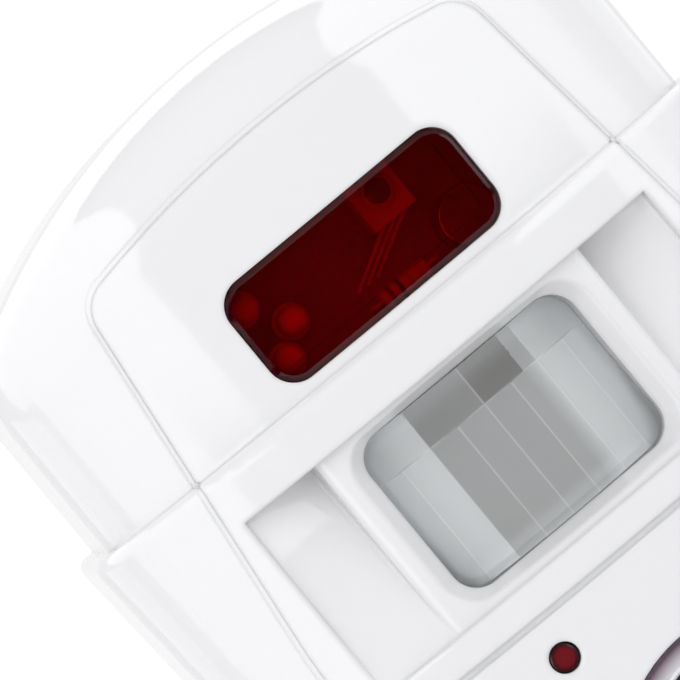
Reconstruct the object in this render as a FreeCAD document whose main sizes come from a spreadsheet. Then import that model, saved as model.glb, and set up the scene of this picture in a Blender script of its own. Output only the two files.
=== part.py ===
"""Motion sensor alarm: a domed case with a signal window, a lens bay, a siren and a battery bay.

Millimetres. The case stands on its foot: +Z is up, the face looks along -Y, and the origin is the middle
of the foot. Every size is a cell of the Sizes sheet.
"""
import FreeCAD, Part
import math
import os
import re
import Sketcher

doc = FreeCAD.newDocument("MotionSensorAlarm")

# Driving sizes
SIZES = {
    # Heights, stacked from the foot to the crown
    "panel_foot_level": 11.5,
    "siren_clear": 0.2,
    "led_rise": 2.2,
    "groove_rise": 4.5,
    "ledge_height": 3.6,
    "bay_lip": 1.7,
    "brow_lip": 1.4,
    "brow_height": 5.7,
    "window_rise": 1.3,
    "panel_crown": 10.5,
    "dome_crown": 9.2,
    # Case outline, seen from the front
    "shoulder_width": 79,
    "shoulder_side": 2.3,
    "shoulder_step": 1.6,
    "shoulder_round": 1.3,
    "foot_width": 68.4,
    "foot_corner": 12,
    "foot_land_width": 42,
    "foot_land_setback": 12,
    "foot_relief_height": 0.3,
    "dome_arc": 68,
    "dome_corner": 11.5,
    "dome_overlap": 12,
    # Case section, seen from above
    "case_depth": 46,
    "face_radius": 78,
    "rim_round": 10.5,
    "wall": 2.2,
    "back_rim": 1.1,
    "seam_gap": 0.15,
    "fit_gap": 0.1,
    # Front cover
    "panel_proud": 0.5,
    "panel_arc": 106,
    "panel_belly_width": 59,
    "panel_top_inset": 5.3,
    "panel_foot_inset": 3,
    "panel_belly_rise": 8,
    "panel_belly_round": 60,
    "panel_corner": 3.8,
    "panel_foot_corner": 8,
    "skirt_wall": 1.6,
    "skirt_depth": 13,
    "opening_spare": 6,
    "clip_reach": 0.9,
    "clip_length": 10,
    "clip_depth": 2,
    "clip_start": 1.2,
    # Lens bay, with depths behind the brow's front
    "bay_inset": 3.85,
    "bay_side_top": 5.8,
    "bay_core_top": 8.4,
    "bay_side_foot": 4.5,
    "bay_core_foot": 3.1,
    "bay_core_room": 0.4,
    "bezel_width": 33.8,
    "bezel_setback": 1.0,
    "bezel_depth": 14,
    "bezel_round": 1.4,
    "bezel_slope_side": 3.8,
    "bezel_slope_end": 1.3,
    "bezel_mouth_depth": 4.4,
    # Lens and its opening
    "lens_opening_width": 26.4,
    "lens_opening_height": 18.8,
    "lens_opening_corner": 3,
    "lens_gap": 0.7,
    "lens_end_gap": 0.15,
    "lens_apex_depth": 4.1,
    "lens_radius": 24,
    "lens_facet": 3.43,
    "lens_wall": 0.8,
    "lens_inner_step": 1.2,
    "lens_row_rise": 4.7,
    "lens_flange": 1,
    "lens_flange_lap": 2,
    "lens_flange_depth": 8.4,
    "retainer_thick": 1.4,
    "retainer_slot": 13.8,
    # Groove and light of the lower panel
    "groove_width": 0.7,
    "groove_depth": 0.45,
    "led_side": 10.1,
    "led_radius": 1.5,
    "led_proud": 0.5,
    "led_flange": 0.4,
    "led_length": 5.3,
    "led_foot": 1,
    "led_collar": 1.3,
    "led_collar_clear": 0.2,
    "leg_spread": 0.7,
    "lead_radius": 0.25,
    # Signal window
    "window_width": 28.6,
    "window_height": 11.8,
    "window_corner": 3,
    "window_sunk": 0.15,
    "window_wall": 1.8,
    "window_bevel": 0.6,
    "window_lap": 1.6,
    "window_flange": 1.1,
    # Siren
    "siren_radius": 15.5,
    "siren_sunk": 2.2,
    "ring_width": 2.7,
    "ring_height": 1.1,
    "ring_round": 0.9,
    "grille_thick": 0.6,
    "grille_hole": 0.9,
    "grille_spacing": 3.2,
    "siren_boss": 19,
    "siren_boss_back": 5.4,
    "siren_screw_reach": 16.55,
    "siren_pilot": 2.2,
    "siren_case_depth": 11.5,
    "siren_case_wall": 1.3,
    "siren_ledge": 5.5,
    "siren_step": 1.8,
    "siren_flange": 1.6,
    "piezo_radius": 12.6,
    "piezo_thick": 0.6,
    # Main board, behind the brow's front
    "board_depth": 14,
    "board_thick": 1.6,
    "board_left": 25,
    "board_inset": 2.6,
    "board_drop": 2.9,
    "board_rise": 10.6,
    "board_cut": 14,
    "board_corner": 3,
    "board_hole": 1.5,
    "board_screw_grip": 5,
    "siren_screw_grip": 2,
    "post_radius": 2.4,
    "post_pilot": 6,
    "post_top_side": 18.5,
    "post_inset": 3,
    "post_left": 16.5,
    "post_lift": 3.9,
    # Parts on the board
    "pir_radius": 4.6,
    "pir_height": 4.2,
    "pir_flange": 0.6,
    "pir_lip": 0.3,
    "pir_window_width": 4,
    "pir_window_height": 3,
    "pir_window_sunk": 0.3,
    "receiver_side": 5.7,
    "receiver_rise": 3.8,
    "receiver_width": 5.2,
    "receiver_height": 6.4,
    "receiver_depth": 3.6,
    "receiver_dome": 2.1,
    "receiver_dome_sunk": 0.42,
    "receiver_stand": 0.9,
    "receiver_leg_spacing": 1.27,
    "receiver_leg_shift": 6,
    "receiver_leg_drop": 3.6,
    "indicator_stand": 1.2,
    "indicator_near_side": 8.9,
    "indicator_near_drop": 0.8,
    "indicator_high_side": 12,
    "indicator_high_rise": 3.2,
    "indicator_low_side": 11.6,
    "indicator_low_drop": 3.6,
    "capacitor_radius": 3.2,
    "capacitor_round": 0.4,
    "capacitor_height": 6.2,
    "capacitor_side": 11.2,
    "capacitor_drop": 3.8,
    "chip_rise": 13.3,
    "chip_width": 7.6,
    "chip_length": 10.4,
    "chip_height": 1.9,
    "chip_foot": 0.4,
    "chip_leg_reach": 1,
    "chip_leg_spacing": 1.27,
    "resistor_radius": 0.95,
    "resistor_length": 5.6,
    "resistor_side": 2.5,
    "resistor_drop": 13,
    "resistor_spacing": 2.6,
    "resistor_wire": 1.5,
    # Switch and inlet at the right side
    "switch_drop": 4.2,
    "switch_inset": 5.4,
    "switch_length": 12.8,
    "switch_height": 6.4,
    "switch_depth": 5.2,
    "switch_throw": 2,
    "switch_play": 0.3,
    "knob_length": 3.6,
    "knob_thick": 2.6,
    "knob_reach": 4.9,
    "knob_foot": 1,
    "knob_bevel": 0.3,
    "jack_drop": 12.9,
    "jack_inset": 5.5,
    "jack_width": 9,
    "jack_length": 13.2,
    "jack_collar": 3.9,
    "jack_reach": 3,
    "jack_bore": 2.9,
    "jack_bore_depth": 9,
    "jack_pin": 1,
    "jack_room": 4.3,
    # Batteries: four of 10.4 by 44.5
    "cell_radius": 5.2,
    "cell_length": 43.3,
    "cell_nub": 1.2,
    "cell_nub_radius": 1.9,
    "cell_spacing": 11.1,
    "cell_play": 0.35,
    "contact_thick": 0.4,
    "contact_width": 7,
    "contact_height": 8,
    "contact_gap": 0.05,
    "spring_reach": 3.6,
    "battery_foot": 13.5,
    "tub_wall": 1.6,
    # Back cover and battery door
    "seat_depth": 2.2,
    "door_thick": 1.8,
    "door_gap": 0.3,
    "door_frame": 1.2,
    "door_frame_depth": 1.6,
    "door_ledge": 2.3,
    "door_tab_width": 6,
    "door_tab_side": 13,
    "door_tab_reach": 1.6,
    "door_latch_width": 12,
    "grip_spacing": 1.6,
    "grip_width": 0.7,
    "grip_depth": 0.4,
    "keyhole_side": 20,
    "keyhole_drop": 30,
    "keyhole_entry": 4,
    "keyhole_neck": 2.1,
    "keyhole_rise": 6.5,
    # Screws
    "screw_radius": 1.25,
    "screw_head": 2.4,
    "screw_head_height": 1.5,
    "screw_slot": 0.5,
    "screw_slot_reach": 1.32,
    "screw_length": 9,
    "screw_sink": 1.6,
    "screw_spare": 0.1,
    "pilot_gap": 0.05,
    "boss_radius": 3.1,
    "boss_length": 12,
    "boss_top_inset": 6.9,
    "boss_top_drop": 24,
    "boss_foot_inset": 3.6,
    "boss_foot_level": 14,
}

# Places worked out from the sizes
PLACES = {
    "siren_level": "panel_foot_level + skirt_wall + siren_clear + siren_boss",
    "led_level": "siren_level + siren_boss + led_rise",
    "groove_level": "led_level + groove_rise",
    "bay_foot": "groove_level + ledge_height",
    "lens_level": "bay_foot + bay_lip + lens_opening_height / 2",
    "lens_row_level": "lens_level + lens_row_rise",
    "brow_level": "lens_level + lens_opening_height / 2 + brow_lip",
    "shoulder_level": "brow_level + brow_height",
    "window_level": "shoulder_level + window_rise + window_height / 2",
    "panel_top": "window_level + window_height / 2 + panel_crown",
    "case_height": "panel_top + dome_crown",
    "panel_belly_level": "groove_level + panel_belly_rise",
    "panel_top_width": "panel_belly_width - 2 * panel_top_inset",
    "panel_foot_width": "panel_belly_width - 2 * panel_foot_inset",
    "bay_width": "panel_belly_width - 2 * bay_inset",
    "dome_width": "shoulder_width - 2 * shoulder_side",
    "board_foot": "led_level - board_drop",
    "board_top": "window_level + board_rise",
    "board_shoulder": "board_top - board_cut",
    "board_right": "switch_face - board_inset",
    "post_top_level": "board_top - post_inset",
    "post_foot_level": "board_foot + post_lift",
    "post_right": "jack_face - jack_length - jack_room",
    "receiver_level": "window_level + receiver_rise",
    "indicator_near_level": "window_level - indicator_near_drop",
    "indicator_high_level": "window_level + indicator_high_rise",
    "indicator_low_level": "window_level - indicator_low_drop",
    "capacitor_level": "window_level - capacitor_drop",
    "chip_level": "lens_level + chip_rise",
    "resistor_level": "window_level - resistor_drop",
    "switch_level": "lens_level - switch_drop",
    "switch_face": "shoulder_width / 2 - switch_inset",
    "jack_level": "switch_level - jack_drop",
    "jack_face": "shoulder_width / 2 - jack_inset",
    "keyhole_level": "case_height - keyhole_drop",
    "boss_top_side": "shoulder_width / 2 - boss_top_inset",
    "boss_top_level": "case_height - boss_top_drop",
    "boss_foot_side": "foot_width / 2 - boss_foot_inset",
    "back": "case_depth / 2",
    "brow": "-case_depth / 2",
    "shell_front": "brow + panel_proud",
    "skirt_back": "brow + skirt_depth",
    "board_front": "brow + board_depth",
    "board_back": "board_front + board_thick",
    "led_tip": "brow + face_radius - sqrt(face_radius ^ 2 - led_side ^ 2) - led_proud",
    "siren_back": "brow + siren_boss_back",
    "switch_middle": "board_back + switch_height / 2",
    "jack_middle": "board_back + jack_width / 2",
    "tub_half": "2 * cell_spacing + cell_play",
    "tub_top": "battery_foot + cell_length + cell_nub + 2 * contact_thick + spring_reach + 2 * contact_gap",
    "tub_floor": "back - door_thick - 2 * cell_radius - 2 * cell_play",
    "cell_middle": "back - door_thick - cell_play - cell_radius",
    "screw_seat": "back - screw_sink",
}

sheet = doc.addObject("Spreadsheet::Sheet", "Sizes")
for row, (alias, size) in enumerate(SIZES.items(), start=1):
    sheet.set("A%d" % row, alias.replace("_", " "))
    sheet.set("B%d" % row, str(size))
    sheet.setAlias("B%d" % row, alias)
doc.recompute()

# Counts
CELLS = 4
CHIP_LEGS = 8
RESISTORS = 4
GRIP_GROOVES = 4
HOLES_PER_RING = 6

# Distances that tell edges apart
NEAR = 0.01
SAME_LEVEL = 0.5

ALONG_X = FreeCAD.Rotation(FreeCAD.Vector(0, 1, 0), 90)
ALONG_Y = FreeCAD.Rotation(FreeCAD.Vector(1, 0, 0), -90)
UPRIGHT = FreeCAD.Rotation()


# Expressions on the sheet
def formula(text):
    """Turn plain names of sizes and places into references to the sheet's cells."""
    return re.sub(r"[a-z]+(_[a-z]+)*", lambda found: reference(found[0]), str(text))


def reference(name):
    if name in SIZES:
        return "Sizes." + name
    return "(%s)" % formula(PLACES[name]) if name in PLACES else name


def value(text):
    return float(sheet.evalExpression(formula(text)))


def bind(thing, **formulas):
    """Tie properties of an object to expressions."""
    for name, text in formulas.items():
        thing.setExpression(name, formula(text))


def place(thing, x="0", y="0", z="0", turn=UPRIGHT):
    thing.Placement = FreeCAD.Placement(FreeCAD.Vector(), turn)
    for axis, text in (("x", x), ("y", y), ("z", z)):
        thing.setExpression("Placement.Base." + axis, formula(text))
    return thing


# Primitives and booleans
def block(name, x, y, z):
    """Box between three pairs of limits."""
    solid = doc.addObject("Part::Box", name)
    for side, (low, high) in zip(("Length", "Width", "Height"), (x, y, z)):
        solid.setExpression(side, formula("(%s) - (%s)" % (high, low)))
    return place(solid, x[0], y[0], z[0])


def rod(name, radius, length, x="0", y="0", z="0", turn=ALONG_Y):
    """Cylinder that starts at a point and runs along an axis."""
    solid = doc.addObject("Part::Cylinder", name)
    bind(solid, Radius=radius, Height=length)
    return place(solid, x, y, z, turn)


def fuse(name, *shapes):
    solid = doc.addObject("Part::MultiFuse", name)
    solid.Shapes = list(shapes)
    solid.Refine = True
    return solid


def common(name, *shapes):
    solid = doc.addObject("Part::MultiCommon", name)
    solid.Shapes = list(shapes)
    return solid


def cut(name, base, *tools):
    solid = doc.addObject("Part::Cut", name)
    solid.Base = base
    solid.Tool = tools[0] if len(tools) == 1 else fuse(name + "Tools", *tools)
    solid.Refine = True
    return solid


def group(name, *shapes):
    """Separate solids that share one sub-part."""
    solids = doc.addObject("Part::Compound", name)
    solids.Links = list(shapes)
    return solids


# Sketches and features of a body
def new_body(name):
    return doc.addObject("PartDesign::Body", name)


def attached_sketch(body, name, plane, level):
    """Empty sketch on one of the body's origin planes, moved along the plane's normal."""
    outline = body.newObject("Sketcher::SketchObject", name)
    origin_plane = [part for part in body.Origin.OriginFeatures if part.Role == plane][0]
    outline.AttachmentSupport = [(origin_plane, "")]
    outline.MapMode = "FlatFace"
    outline.setExpression("AttachmentOffset.Base.z", formula(level))
    return outline


def sketch(body, name, plane, level, corners, arcs=None):
    """Closed outline through corners given as pairs of expressions.

    arcs maps a side's index to its radius: a positive one bulges out of a counter-clockwise outline.
    """
    outline = attached_sketch(body, name, plane, level)
    points = [FreeCAD.Vector(value(x), value(y), 0) for x, y in corners]
    starts, ends = [], []
    for side, start in enumerate(points):
        end = points[(side + 1) % len(points)]
        if side in (arcs or {}):
            first, last = add_arc(outline, side, start, end, arcs[side])
        else:
            outline.addGeometry(Part.LineSegment(start, end), False)
            first, last = 1, 2
        starts.append((side, first))
        ends.append((side, last))
    for side, (x, y) in enumerate(corners):
        outline.addConstraint(Sketcher.Constraint("Coincident", *ends[side - 1], *starts[side]))
        for kind, text in (("DistanceX", x), ("DistanceY", y)):
            number = outline.addConstraint(Sketcher.Constraint(kind, -1, 1, *starts[side], value(text)))
            outline.setExpression("Constraints[%d]" % number, formula(text))
    return outline


def add_arc(outline, side, start, end, radius_text):
    """Arc between two corners; returns the point numbers of its first and last corner."""
    radius = abs(value(radius_text))
    chord = end - start
    toward = FreeCAD.Vector(-chord.y, chord.x, 0).normalize()
    outward = value(radius_text) > 0
    height = math.sqrt(radius ** 2 - chord.Length ** 2 / 4)
    centre = (start + end) * 0.5 + toward * (height if outward else -height)
    begin, finish = (start, end) if outward else (end, start)
    angles = [math.atan2(point.y - centre.y, point.x - centre.x) for point in (begin, finish)]
    circle = Part.Circle(centre, FreeCAD.Vector(0, 0, 1), radius)
    outline.addGeometry(Part.ArcOfCircle(circle, *angles), False)
    number = outline.addConstraint(Sketcher.Constraint("Radius", side, radius))
    outline.setExpression("Constraints[%d]" % number, formula("abs(%s)" % radius_text))
    return (1, 2) if outward else (2, 1)


def circle_sketch(body, name, plane, level, centres, radius):
    """Sketch of equal circles about centres given as pairs of expressions."""
    outline = attached_sketch(body, name, plane, level)
    for circle, centre in enumerate(centres):
        point = FreeCAD.Vector(value(centre[0]), value(centre[1]), 0)
        outline.addGeometry(Part.Circle(point, FreeCAD.Vector(0, 0, 1), value(radius)), False)
        for kind, text in zip(("DistanceX", "DistanceY"), centre):
            number = outline.addConstraint(Sketcher.Constraint(kind, -1, 1, circle, 3, value(text)))
            outline.setExpression("Constraints[%d]" % number, formula(text))
        number = outline.addConstraint(Sketcher.Constraint("Radius", circle, value(radius)))
        outline.setExpression("Constraints[%d]" % number, formula(radius))
    return outline


def pad(body, outline, length):
    feature = body.newObject("PartDesign::Pad", outline.Name + "Pad")
    feature.Profile = outline
    bind(feature, Length=length)
    doc.recompute()
    return feature


def pocket(body, outline, length, flip=False):
    """Pocket that has to take something away."""
    before = body.Shape.Volume
    feature = body.newObject("PartDesign::Pocket", outline.Name + "Pocket")
    feature.Profile = outline
    feature.Reversed = flip
    bind(feature, Length=length)
    doc.recompute()
    if body.Shape.Volume > before - 1e-6:
        raise ValueError(outline.Name + " takes nothing away")
    return feature


def fillet(body, name, edges, radius):
    base = body.Tip
    feature = body.newObject("PartDesign::Fillet", name)
    feature.Base = (base, edges)
    bind(feature, Radius=radius)
    doc.recompute()
    return feature


def chamfer(body, name, edges, size):
    base = body.Tip
    feature = body.newObject("PartDesign::Chamfer", name)
    feature.Base = (base, edges)
    bind(feature, Size=size)
    doc.recompute()
    return feature


def edges_where(shape, test):
    return ["Edge%d" % number for number, edge in enumerate(shape.Edges, start=1) if test(edge)]


def runs_along(edge, axis):
    """True for a straight edge parallel to an axis."""
    box = edge.BoundBox
    spans = [box.XLength, box.YLength, box.ZLength]
    return spans[axis] > NEAR and max(spans[:axis] + spans[axis + 1:]) < NEAR


def mirrored(corners):
    """Whole outline from its right half, which runs from the foot to the top."""
    return corners + [("-(%s)" % x, y) for x, y in reversed(corners)]


def face_sag(x, radius="face_radius"):
    """How far the bowed face lies behind its middle at a distance to the side."""
    return "(%s) - sqrt((%s) ^ 2 - (%s) ^ 2)" % (radius, radius, x)


# Case forms
def bowed_block(name, outline, arcs, at_corner, corner, front, inset):
    """Outline with round corners, extruded from the back to a face that bows in plan."""
    body = new_body(name)
    plan = sketch(body, name + "Outline", "XZ_Plane", "-back", outline, arcs)
    pad(body, plan, "case_depth + 1")
    fillet(body, name + "Corner", edges_where(body.Shape, at_corner), corner)
    reach = "shoulder_width / 2 + 1"
    arc_radius = "face_radius - (%s)" % inset
    shoulder = "(%s) + %s" % (front, face_sag(reach, arc_radius))
    beyond = "-case_depth"
    bow = sketch(
        body, name + "Bow", "XY_Plane", "case_height + 1",
        [("-(%s)" % reach, beyond), (reach, beyond), (reach, shoulder), ("-(%s)" % reach, shoulder)],
        {2: "-(%s)" % arc_radius},
    )
    pocket(body, bow, "case_height + 2")
    return body


def front_rim(shape, buried_level=None):
    """Edges round the front face, without the one at a buried level."""
    rim = min(shape.Faces, key=lambda face: face.CenterOfMass.y).Edges
    if buried_level is not None:
        rim = [edge for edge in rim if abs(edge.CenterOfMass.z - buried_level) > SAME_LEVEL]
    return edges_where(shape, lambda edge: any(edge.isSame(other) for other in rim))


def case_form(name, inset="0", forward="0"):
    """Dome and lower case as one solid, drawn in by an inset and moved forward by a step."""
    dome_half = "dome_width / 2 - (%s)" % inset
    dome_radius = "dome_arc - (%s)" % inset
    dome_foot = "shoulder_level - dome_overlap"
    dome_side = "case_height - dome_arc + sqrt((%s) ^ 2 - (%s) ^ 2)" % (dome_radius, dome_half)
    lower_front = "shell_front - (%s) + (%s)" % (forward, inset)
    dome = bowed_block(
        name + "Dome", mirrored([(dome_half, dome_foot), (dome_half, dome_side)]), {1: dome_radius},
        lambda edge: runs_along(edge, 1) and edge.CenterOfMass.z > value("shoulder_level"),
        "dome_corner - (%s)" % inset, "%s + shoulder_step" % lower_front, inset)
    fillet(dome, name + "DomeRim", front_rim(dome.Shape, value(dome_foot)), "rim_round - (%s)" % inset)
    shoulder = "shoulder_level - (%s)" % inset
    foot_half = "foot_width / 2 - (%s)" % inset
    shoulder_half = "shoulder_width / 2 - (%s)" % inset
    lower = bowed_block(
        name + "Lower", mirrored([(foot_half, inset), (shoulder_half, shoulder)]), {},
        lambda edge: runs_along(edge, 1) and edge.CenterOfMass.z < value("foot_corner"),
        "foot_corner - (%s)" % inset, lower_front, inset)
    fillet(lower, name + "LowerRim", front_rim(lower.Shape, value(shoulder)), "rim_round - (%s)" % inset)
    if inset == "0":
        top = edges_where(
            lower.Shape, lambda edge: edge.BoundBox.ZMin > value(shoulder) - NEAR and not is_back(edge))
        fillet(lower, name + "Shoulder", top, "shoulder_round")
    return fuse(name, dome, lower)


def is_back(edge):
    return edge.BoundBox.YMin > value("back") - NEAR


def panel_prism(name, inset, back, length):
    """Outline of the front cover, extruded forward from a plane."""
    foot = ("panel_foot_width / 2 - (%s)" % inset, "panel_foot_level + (%s)" % inset)
    belly = ("panel_belly_width / 2 - (%s)" % inset, "panel_belly_level")
    top_half = "panel_top_width / 2 - (%s)" % inset
    top_radius = "panel_arc - (%s)" % inset
    top = (top_half, "panel_top - panel_arc + sqrt((%s) ^ 2 - (%s) ^ 2)" % (top_radius, top_half))
    body = new_body(name)
    corners = mirrored([foot, belly, top])
    outline = sketch(body, name + "Outline", "XZ_Plane", "-(%s)" % back, corners, {2: top_radius})
    pad(body, outline, length)
    rounds = (
        ("Top", value(top[1]), "panel_corner - (%s)" % inset),
        ("Belly", value("panel_belly_level"), "panel_belly_round"),
        ("Foot", value(foot[1]), "panel_foot_corner - (%s)" % inset),
    )
    for part, level, radius in rounds:
        at_level = edges_where(
            body.Shape, lambda edge: runs_along(edge, 1) and abs(edge.CenterOfMass.z - level) < SAME_LEVEL)
        fillet(body, name + part, at_level, radius)
    return body


def slab(name, back, front):
    """Everything between two depths."""
    return block(name, ("-shoulder_width", "shoulder_width"), (front, back), ("-1", "case_height + 1"))


def rounded_prism(name, width, height, level, corner, back, front):
    """Upright rectangle with round corners, extruded from a back plane to a front plane."""
    body = new_body(name)
    half = "(%s) / 2" % width
    rise = "(%s) / 2" % height
    corners = mirrored([(half, "%s - %s" % (level, rise)), (half, "%s + %s" % (level, rise))])
    outline = sketch(body, name + "Outline", "XZ_Plane", "-(%s)" % back, corners)
    pad(body, outline, "(%s) - (%s)" % (back, front))
    fillet(body, name + "Corners", edges_where(body.Shape, lambda edge: runs_along(edge, 1)), corner)
    return body


parts = {}


def finish(node, solid):
    """Name a finished sub-part after its node."""
    solid.Label = node
    parts[node] = solid
    return solid


# Shared forms
outer = case_form("CaseOuter")
cavity = case_form("CaseCavity", inset="wall")
cover_outer = case_form("CoverOuter", forward="panel_proud")
seat_form = case_form("SeatForm", inset="back_rim")
plate_form = case_form("PlateForm", inset="back_rim + seam_gap")
AHEAD = "case_depth"


# Lens bay
def bay_wedge(name, grow):
    """Recess under the brow, deep beside the bezel and shallow at its outer sides and foot."""
    body = new_body(name)
    half = "bay_width / 2 + (%s)" % grow
    core = "bezel_width / 2 + bay_core_room"
    depths = (("foot", "bay_foot - (%s)" % grow), ("top", "brow_level + (%s)" % grow))
    outlines = []
    for end, level in depths:
        side_y = "brow + bay_side_%s + (%s)" % (end, grow)
        core_y = "brow + bay_core_%s + (%s)" % (end, grow)
        corners = [
            ("-(%s)" % half, "-case_depth"), (half, "-case_depth"), (half, side_y),
            (core, core_y), ("-(%s)" % core, core_y), ("-(%s)" % half, side_y),
        ]
        outlines.append(sketch(body, name + end.title(), "XY_Plane", level, corners))
    loft = body.newObject("PartDesign::AdditiveLoft", name + "Loft")
    loft.Profile = outlines[0]
    loft.Sections = outlines[1:]
    loft.Ruled = True
    doc.recompute()
    return body


def bowed_strip(name, half_width, front, depth, low, high, radius="face_radius"):
    """Upright strip whose front and back follow the bowed face."""
    body = new_body(name)
    back_radius = "(%s) - (%s)" % (radius, depth)
    front_y = "(%s) + %s" % (front, face_sag(half_width, radius))
    back_y = "(%s) + (%s) + %s" % (front, depth, face_sag(half_width, back_radius))
    left = "-(%s)" % half_width
    corners = [(left, front_y), (half_width, front_y), (half_width, back_y), (left, back_y)]
    outline = sketch(body, name + "Plan", "XY_Plane", low, corners, {0: radius, 2: "-(%s)" % back_radius})
    pad(body, outline, "(%s) - (%s)" % (high, low))
    return body


def bezel_block():
    """Frame round the lens, with its front upright edges rounded."""
    body = bowed_strip(
        "BezelBlock", "bezel_width / 2", "brow + bezel_setback", "bezel_depth", "bay_foot - wall",
        "brow_level + wall")
    middle = value("brow + bezel_depth / 2")
    front_edges = edges_where(body.Shape, lambda edge: runs_along(edge, 2) and edge.CenterOfMass.y < middle)
    fillet(body, "BezelRound", front_edges, "bezel_round")
    return body


def bezel_mouth():
    """Sloped mouth of the lens opening, and the straight opening behind it."""
    body = new_body("BezelMouth")
    outlines = []
    half = "lens_opening_width / 2"
    rise = "lens_opening_height / 2"
    steps = (
        ("Inner", "brow + bezel_mouth_depth", half, rise, "lens_opening_corner"),
        ("Outer", "brow", half + " + bezel_slope_side", rise + " + bezel_slope_end",
         "lens_opening_corner + bezel_slope_end"),
    )
    for name, depth, side, end, corner in steps:
        outlines.append(
            round_rectangle(body, "Mouth" + name, "-(%s)" % depth, side, end, "lens_level", corner))
    loft = body.newObject("PartDesign::AdditiveLoft", "MouthLoft")
    loft.Profile = outlines[0]
    loft.Sections = outlines[1:]
    doc.recompute()
    straight = rounded_prism(
        "LensOpening", "lens_opening_width", "lens_opening_height", "lens_level", "lens_opening_corner",
        "skirt_back", "brow + bezel_mouth_depth")
    return body, straight


def round_rectangle(body, name, level, half, rise, middle, corner):
    """Sketch of a rectangle with quarter-round corners about a height."""
    inner_x = "(%s) - (%s)" % (half, corner)
    inner_z = "(%s) - (%s)" % (rise, corner)
    corners = []
    for sign_x, sign_z, flip in ((1, -1, 0), (1, 1, 1), (-1, 1, 0), (-1, -1, 1)):
        near_side = ("%d * (%s)" % (sign_x, half), "%s + %d * (%s)" % (middle, sign_z, inner_z))
        near_end = ("%d * (%s)" % (sign_x, inner_x), "%s + %d * (%s)" % (middle, sign_z, rise))
        corners += [near_side, near_end] if flip else [near_end, near_side]
    return sketch(body, name, "XZ_Plane", level, corners, {side: corner for side in (0, 2, 4, 6)})


# Front cover
def front_cover():
    prism = panel_prism("CoverPrism", "0", "skirt_back", AHEAD)
    inner_prism = panel_prism("CoverInner", "skirt_wall", "skirt_back + 1", AHEAD)
    solid = common("CoverSolid", cover_outer, prism)
    hollow = common("CoverHollowForm", cavity, inner_prism)
    bay_back = bay_wedge("BayBacking", "wall")
    siren_boss = rod("SirenBoss", "siren_boss", "siren_boss_back", y="brow", z="siren_level")
    posts = [
        rod("Post%d" % number, "post_radius", "board_depth", side, "brow", level)
        for number, (side, level) in enumerate(post_places(), start=1)
    ]
    collar_length = "led_tip + led_length - led_foot - led_collar_clear - brow"
    led_collar = rod("LedCollar", "led_radius + led_collar", collar_length, "-led_side", "brow", "led_level")
    kept = fuse("CoverKept", bay_back, siren_boss, led_collar, *posts)
    hollow = cut("CoverHollow", hollow, kept)
    shell = cut("CoverShell", solid, hollow)
    bezel = bezel_block()
    recess = cut("BayRecess", bay_wedge("BayWedge", "0"), bezel)
    bezel_front = bowed_strip(
        "BezelFront", "bezel_width / 2", "brow - 2", "2 + bezel_setback", "bay_foot", "brow_level")
    mouth, opening = bezel_mouth()
    flange_half = "lens_opening_width / 2 + lens_flange_lap + lens_end_gap"
    flange_rise = "lens_opening_height / 2 + lens_flange / 2 + lens_end_gap"
    seat = block(
        "LensSeat", ("-(%s)" % flange_half, flange_half), ("brow + lens_flange_depth", "skirt_back + 2"),
        ("lens_level - (%s)" % flange_rise, "lens_level + %s" % flange_rise))
    window = rounded_prism(
        "WindowOpening", "window_width + 2 * fit_gap", "window_height + 2 * fit_gap", "window_level",
        "window_corner", "skirt_back", "-case_depth")
    groove = bowed_strip(
        "Groove", "shoulder_width / 2", "brow - 1", "1 + groove_depth", "groove_level - groove_width / 2",
        "groove_level + groove_width / 2")
    led_hole = rod("LedHole", "led_radius + fit_gap", "case_depth / 2", "-led_side", "brow - 1", "led_level")
    ring_seat = rod("RingSeat", "siren_radius + fit_gap", "siren_sunk + 1", y="brow - 1", z="siren_level")
    sound_hole = rod("SoundHole", "siren_radius - ring_width", "case_depth / 2", y="brow", z="siren_level")
    pilots = pilot_holes("PostPilot", post_places(), "board_front", "post_pilot")
    siren_pilots = pilot_holes("SirenPilot", siren_screw_places(), "siren_back", "siren_pilot")
    cover = cut(
        "CoverCut", shell, recess, bezel_front, mouth, opening, seat, window, groove, led_hole, ring_seat,
        sound_hole, *pilots, *siren_pilots)
    return fuse("FrontCover", cover, *cover_clips())


def pilot_holes(name, places, back, depth):
    """Holes that screws bite into, open at a back plane."""
    return [
        rod("%s%d" % (name, number), "screw_radius + pilot_gap", depth, x, "(%s) - (%s)" % (back, depth), z)
        for number, (x, z) in enumerate(places, start=1)
    ]


def cover_clips():
    """Barbs on the skirt that catch behind the case shell: one at each side and one at the foot."""
    inner = "panel_belly_width / 2 - skirt_wall"
    outer_x = "panel_belly_width / 2 + clip_reach"
    depth = ("skirt_back - clip_start - clip_depth", "skirt_back - clip_start")
    along = ("panel_belly_level - clip_length / 2", "panel_belly_level + clip_length / 2")
    return [
        block("ClipRight", (inner, outer_x), depth, along),
        block("ClipLeft", ("-(%s)" % outer_x, "-(%s)" % inner), depth, along),
        block("ClipFoot", ("-clip_length / 2", "clip_length / 2"), depth,
              ("panel_foot_level - clip_reach", "panel_foot_level + skirt_wall")),
    ]


def post_places():
    """Board posts of the front cover: two under the dome, two at the foot of the board."""
    return [
        ("-post_top_side", "post_top_level"), ("post_top_side", "post_top_level"),
        ("-post_left", "post_foot_level"), ("post_right", "post_foot_level"),
    ]


def siren_screw_places():
    """Three screws round the siren case, one of them at the top."""
    places = []
    for turn in (90, 210, 330):
        x = "siren_screw_reach * cos(%d deg)" % turn
        z = "siren_level + siren_screw_reach * sin(%d deg)" % turn
        places.append((x, z))
    return places


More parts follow.
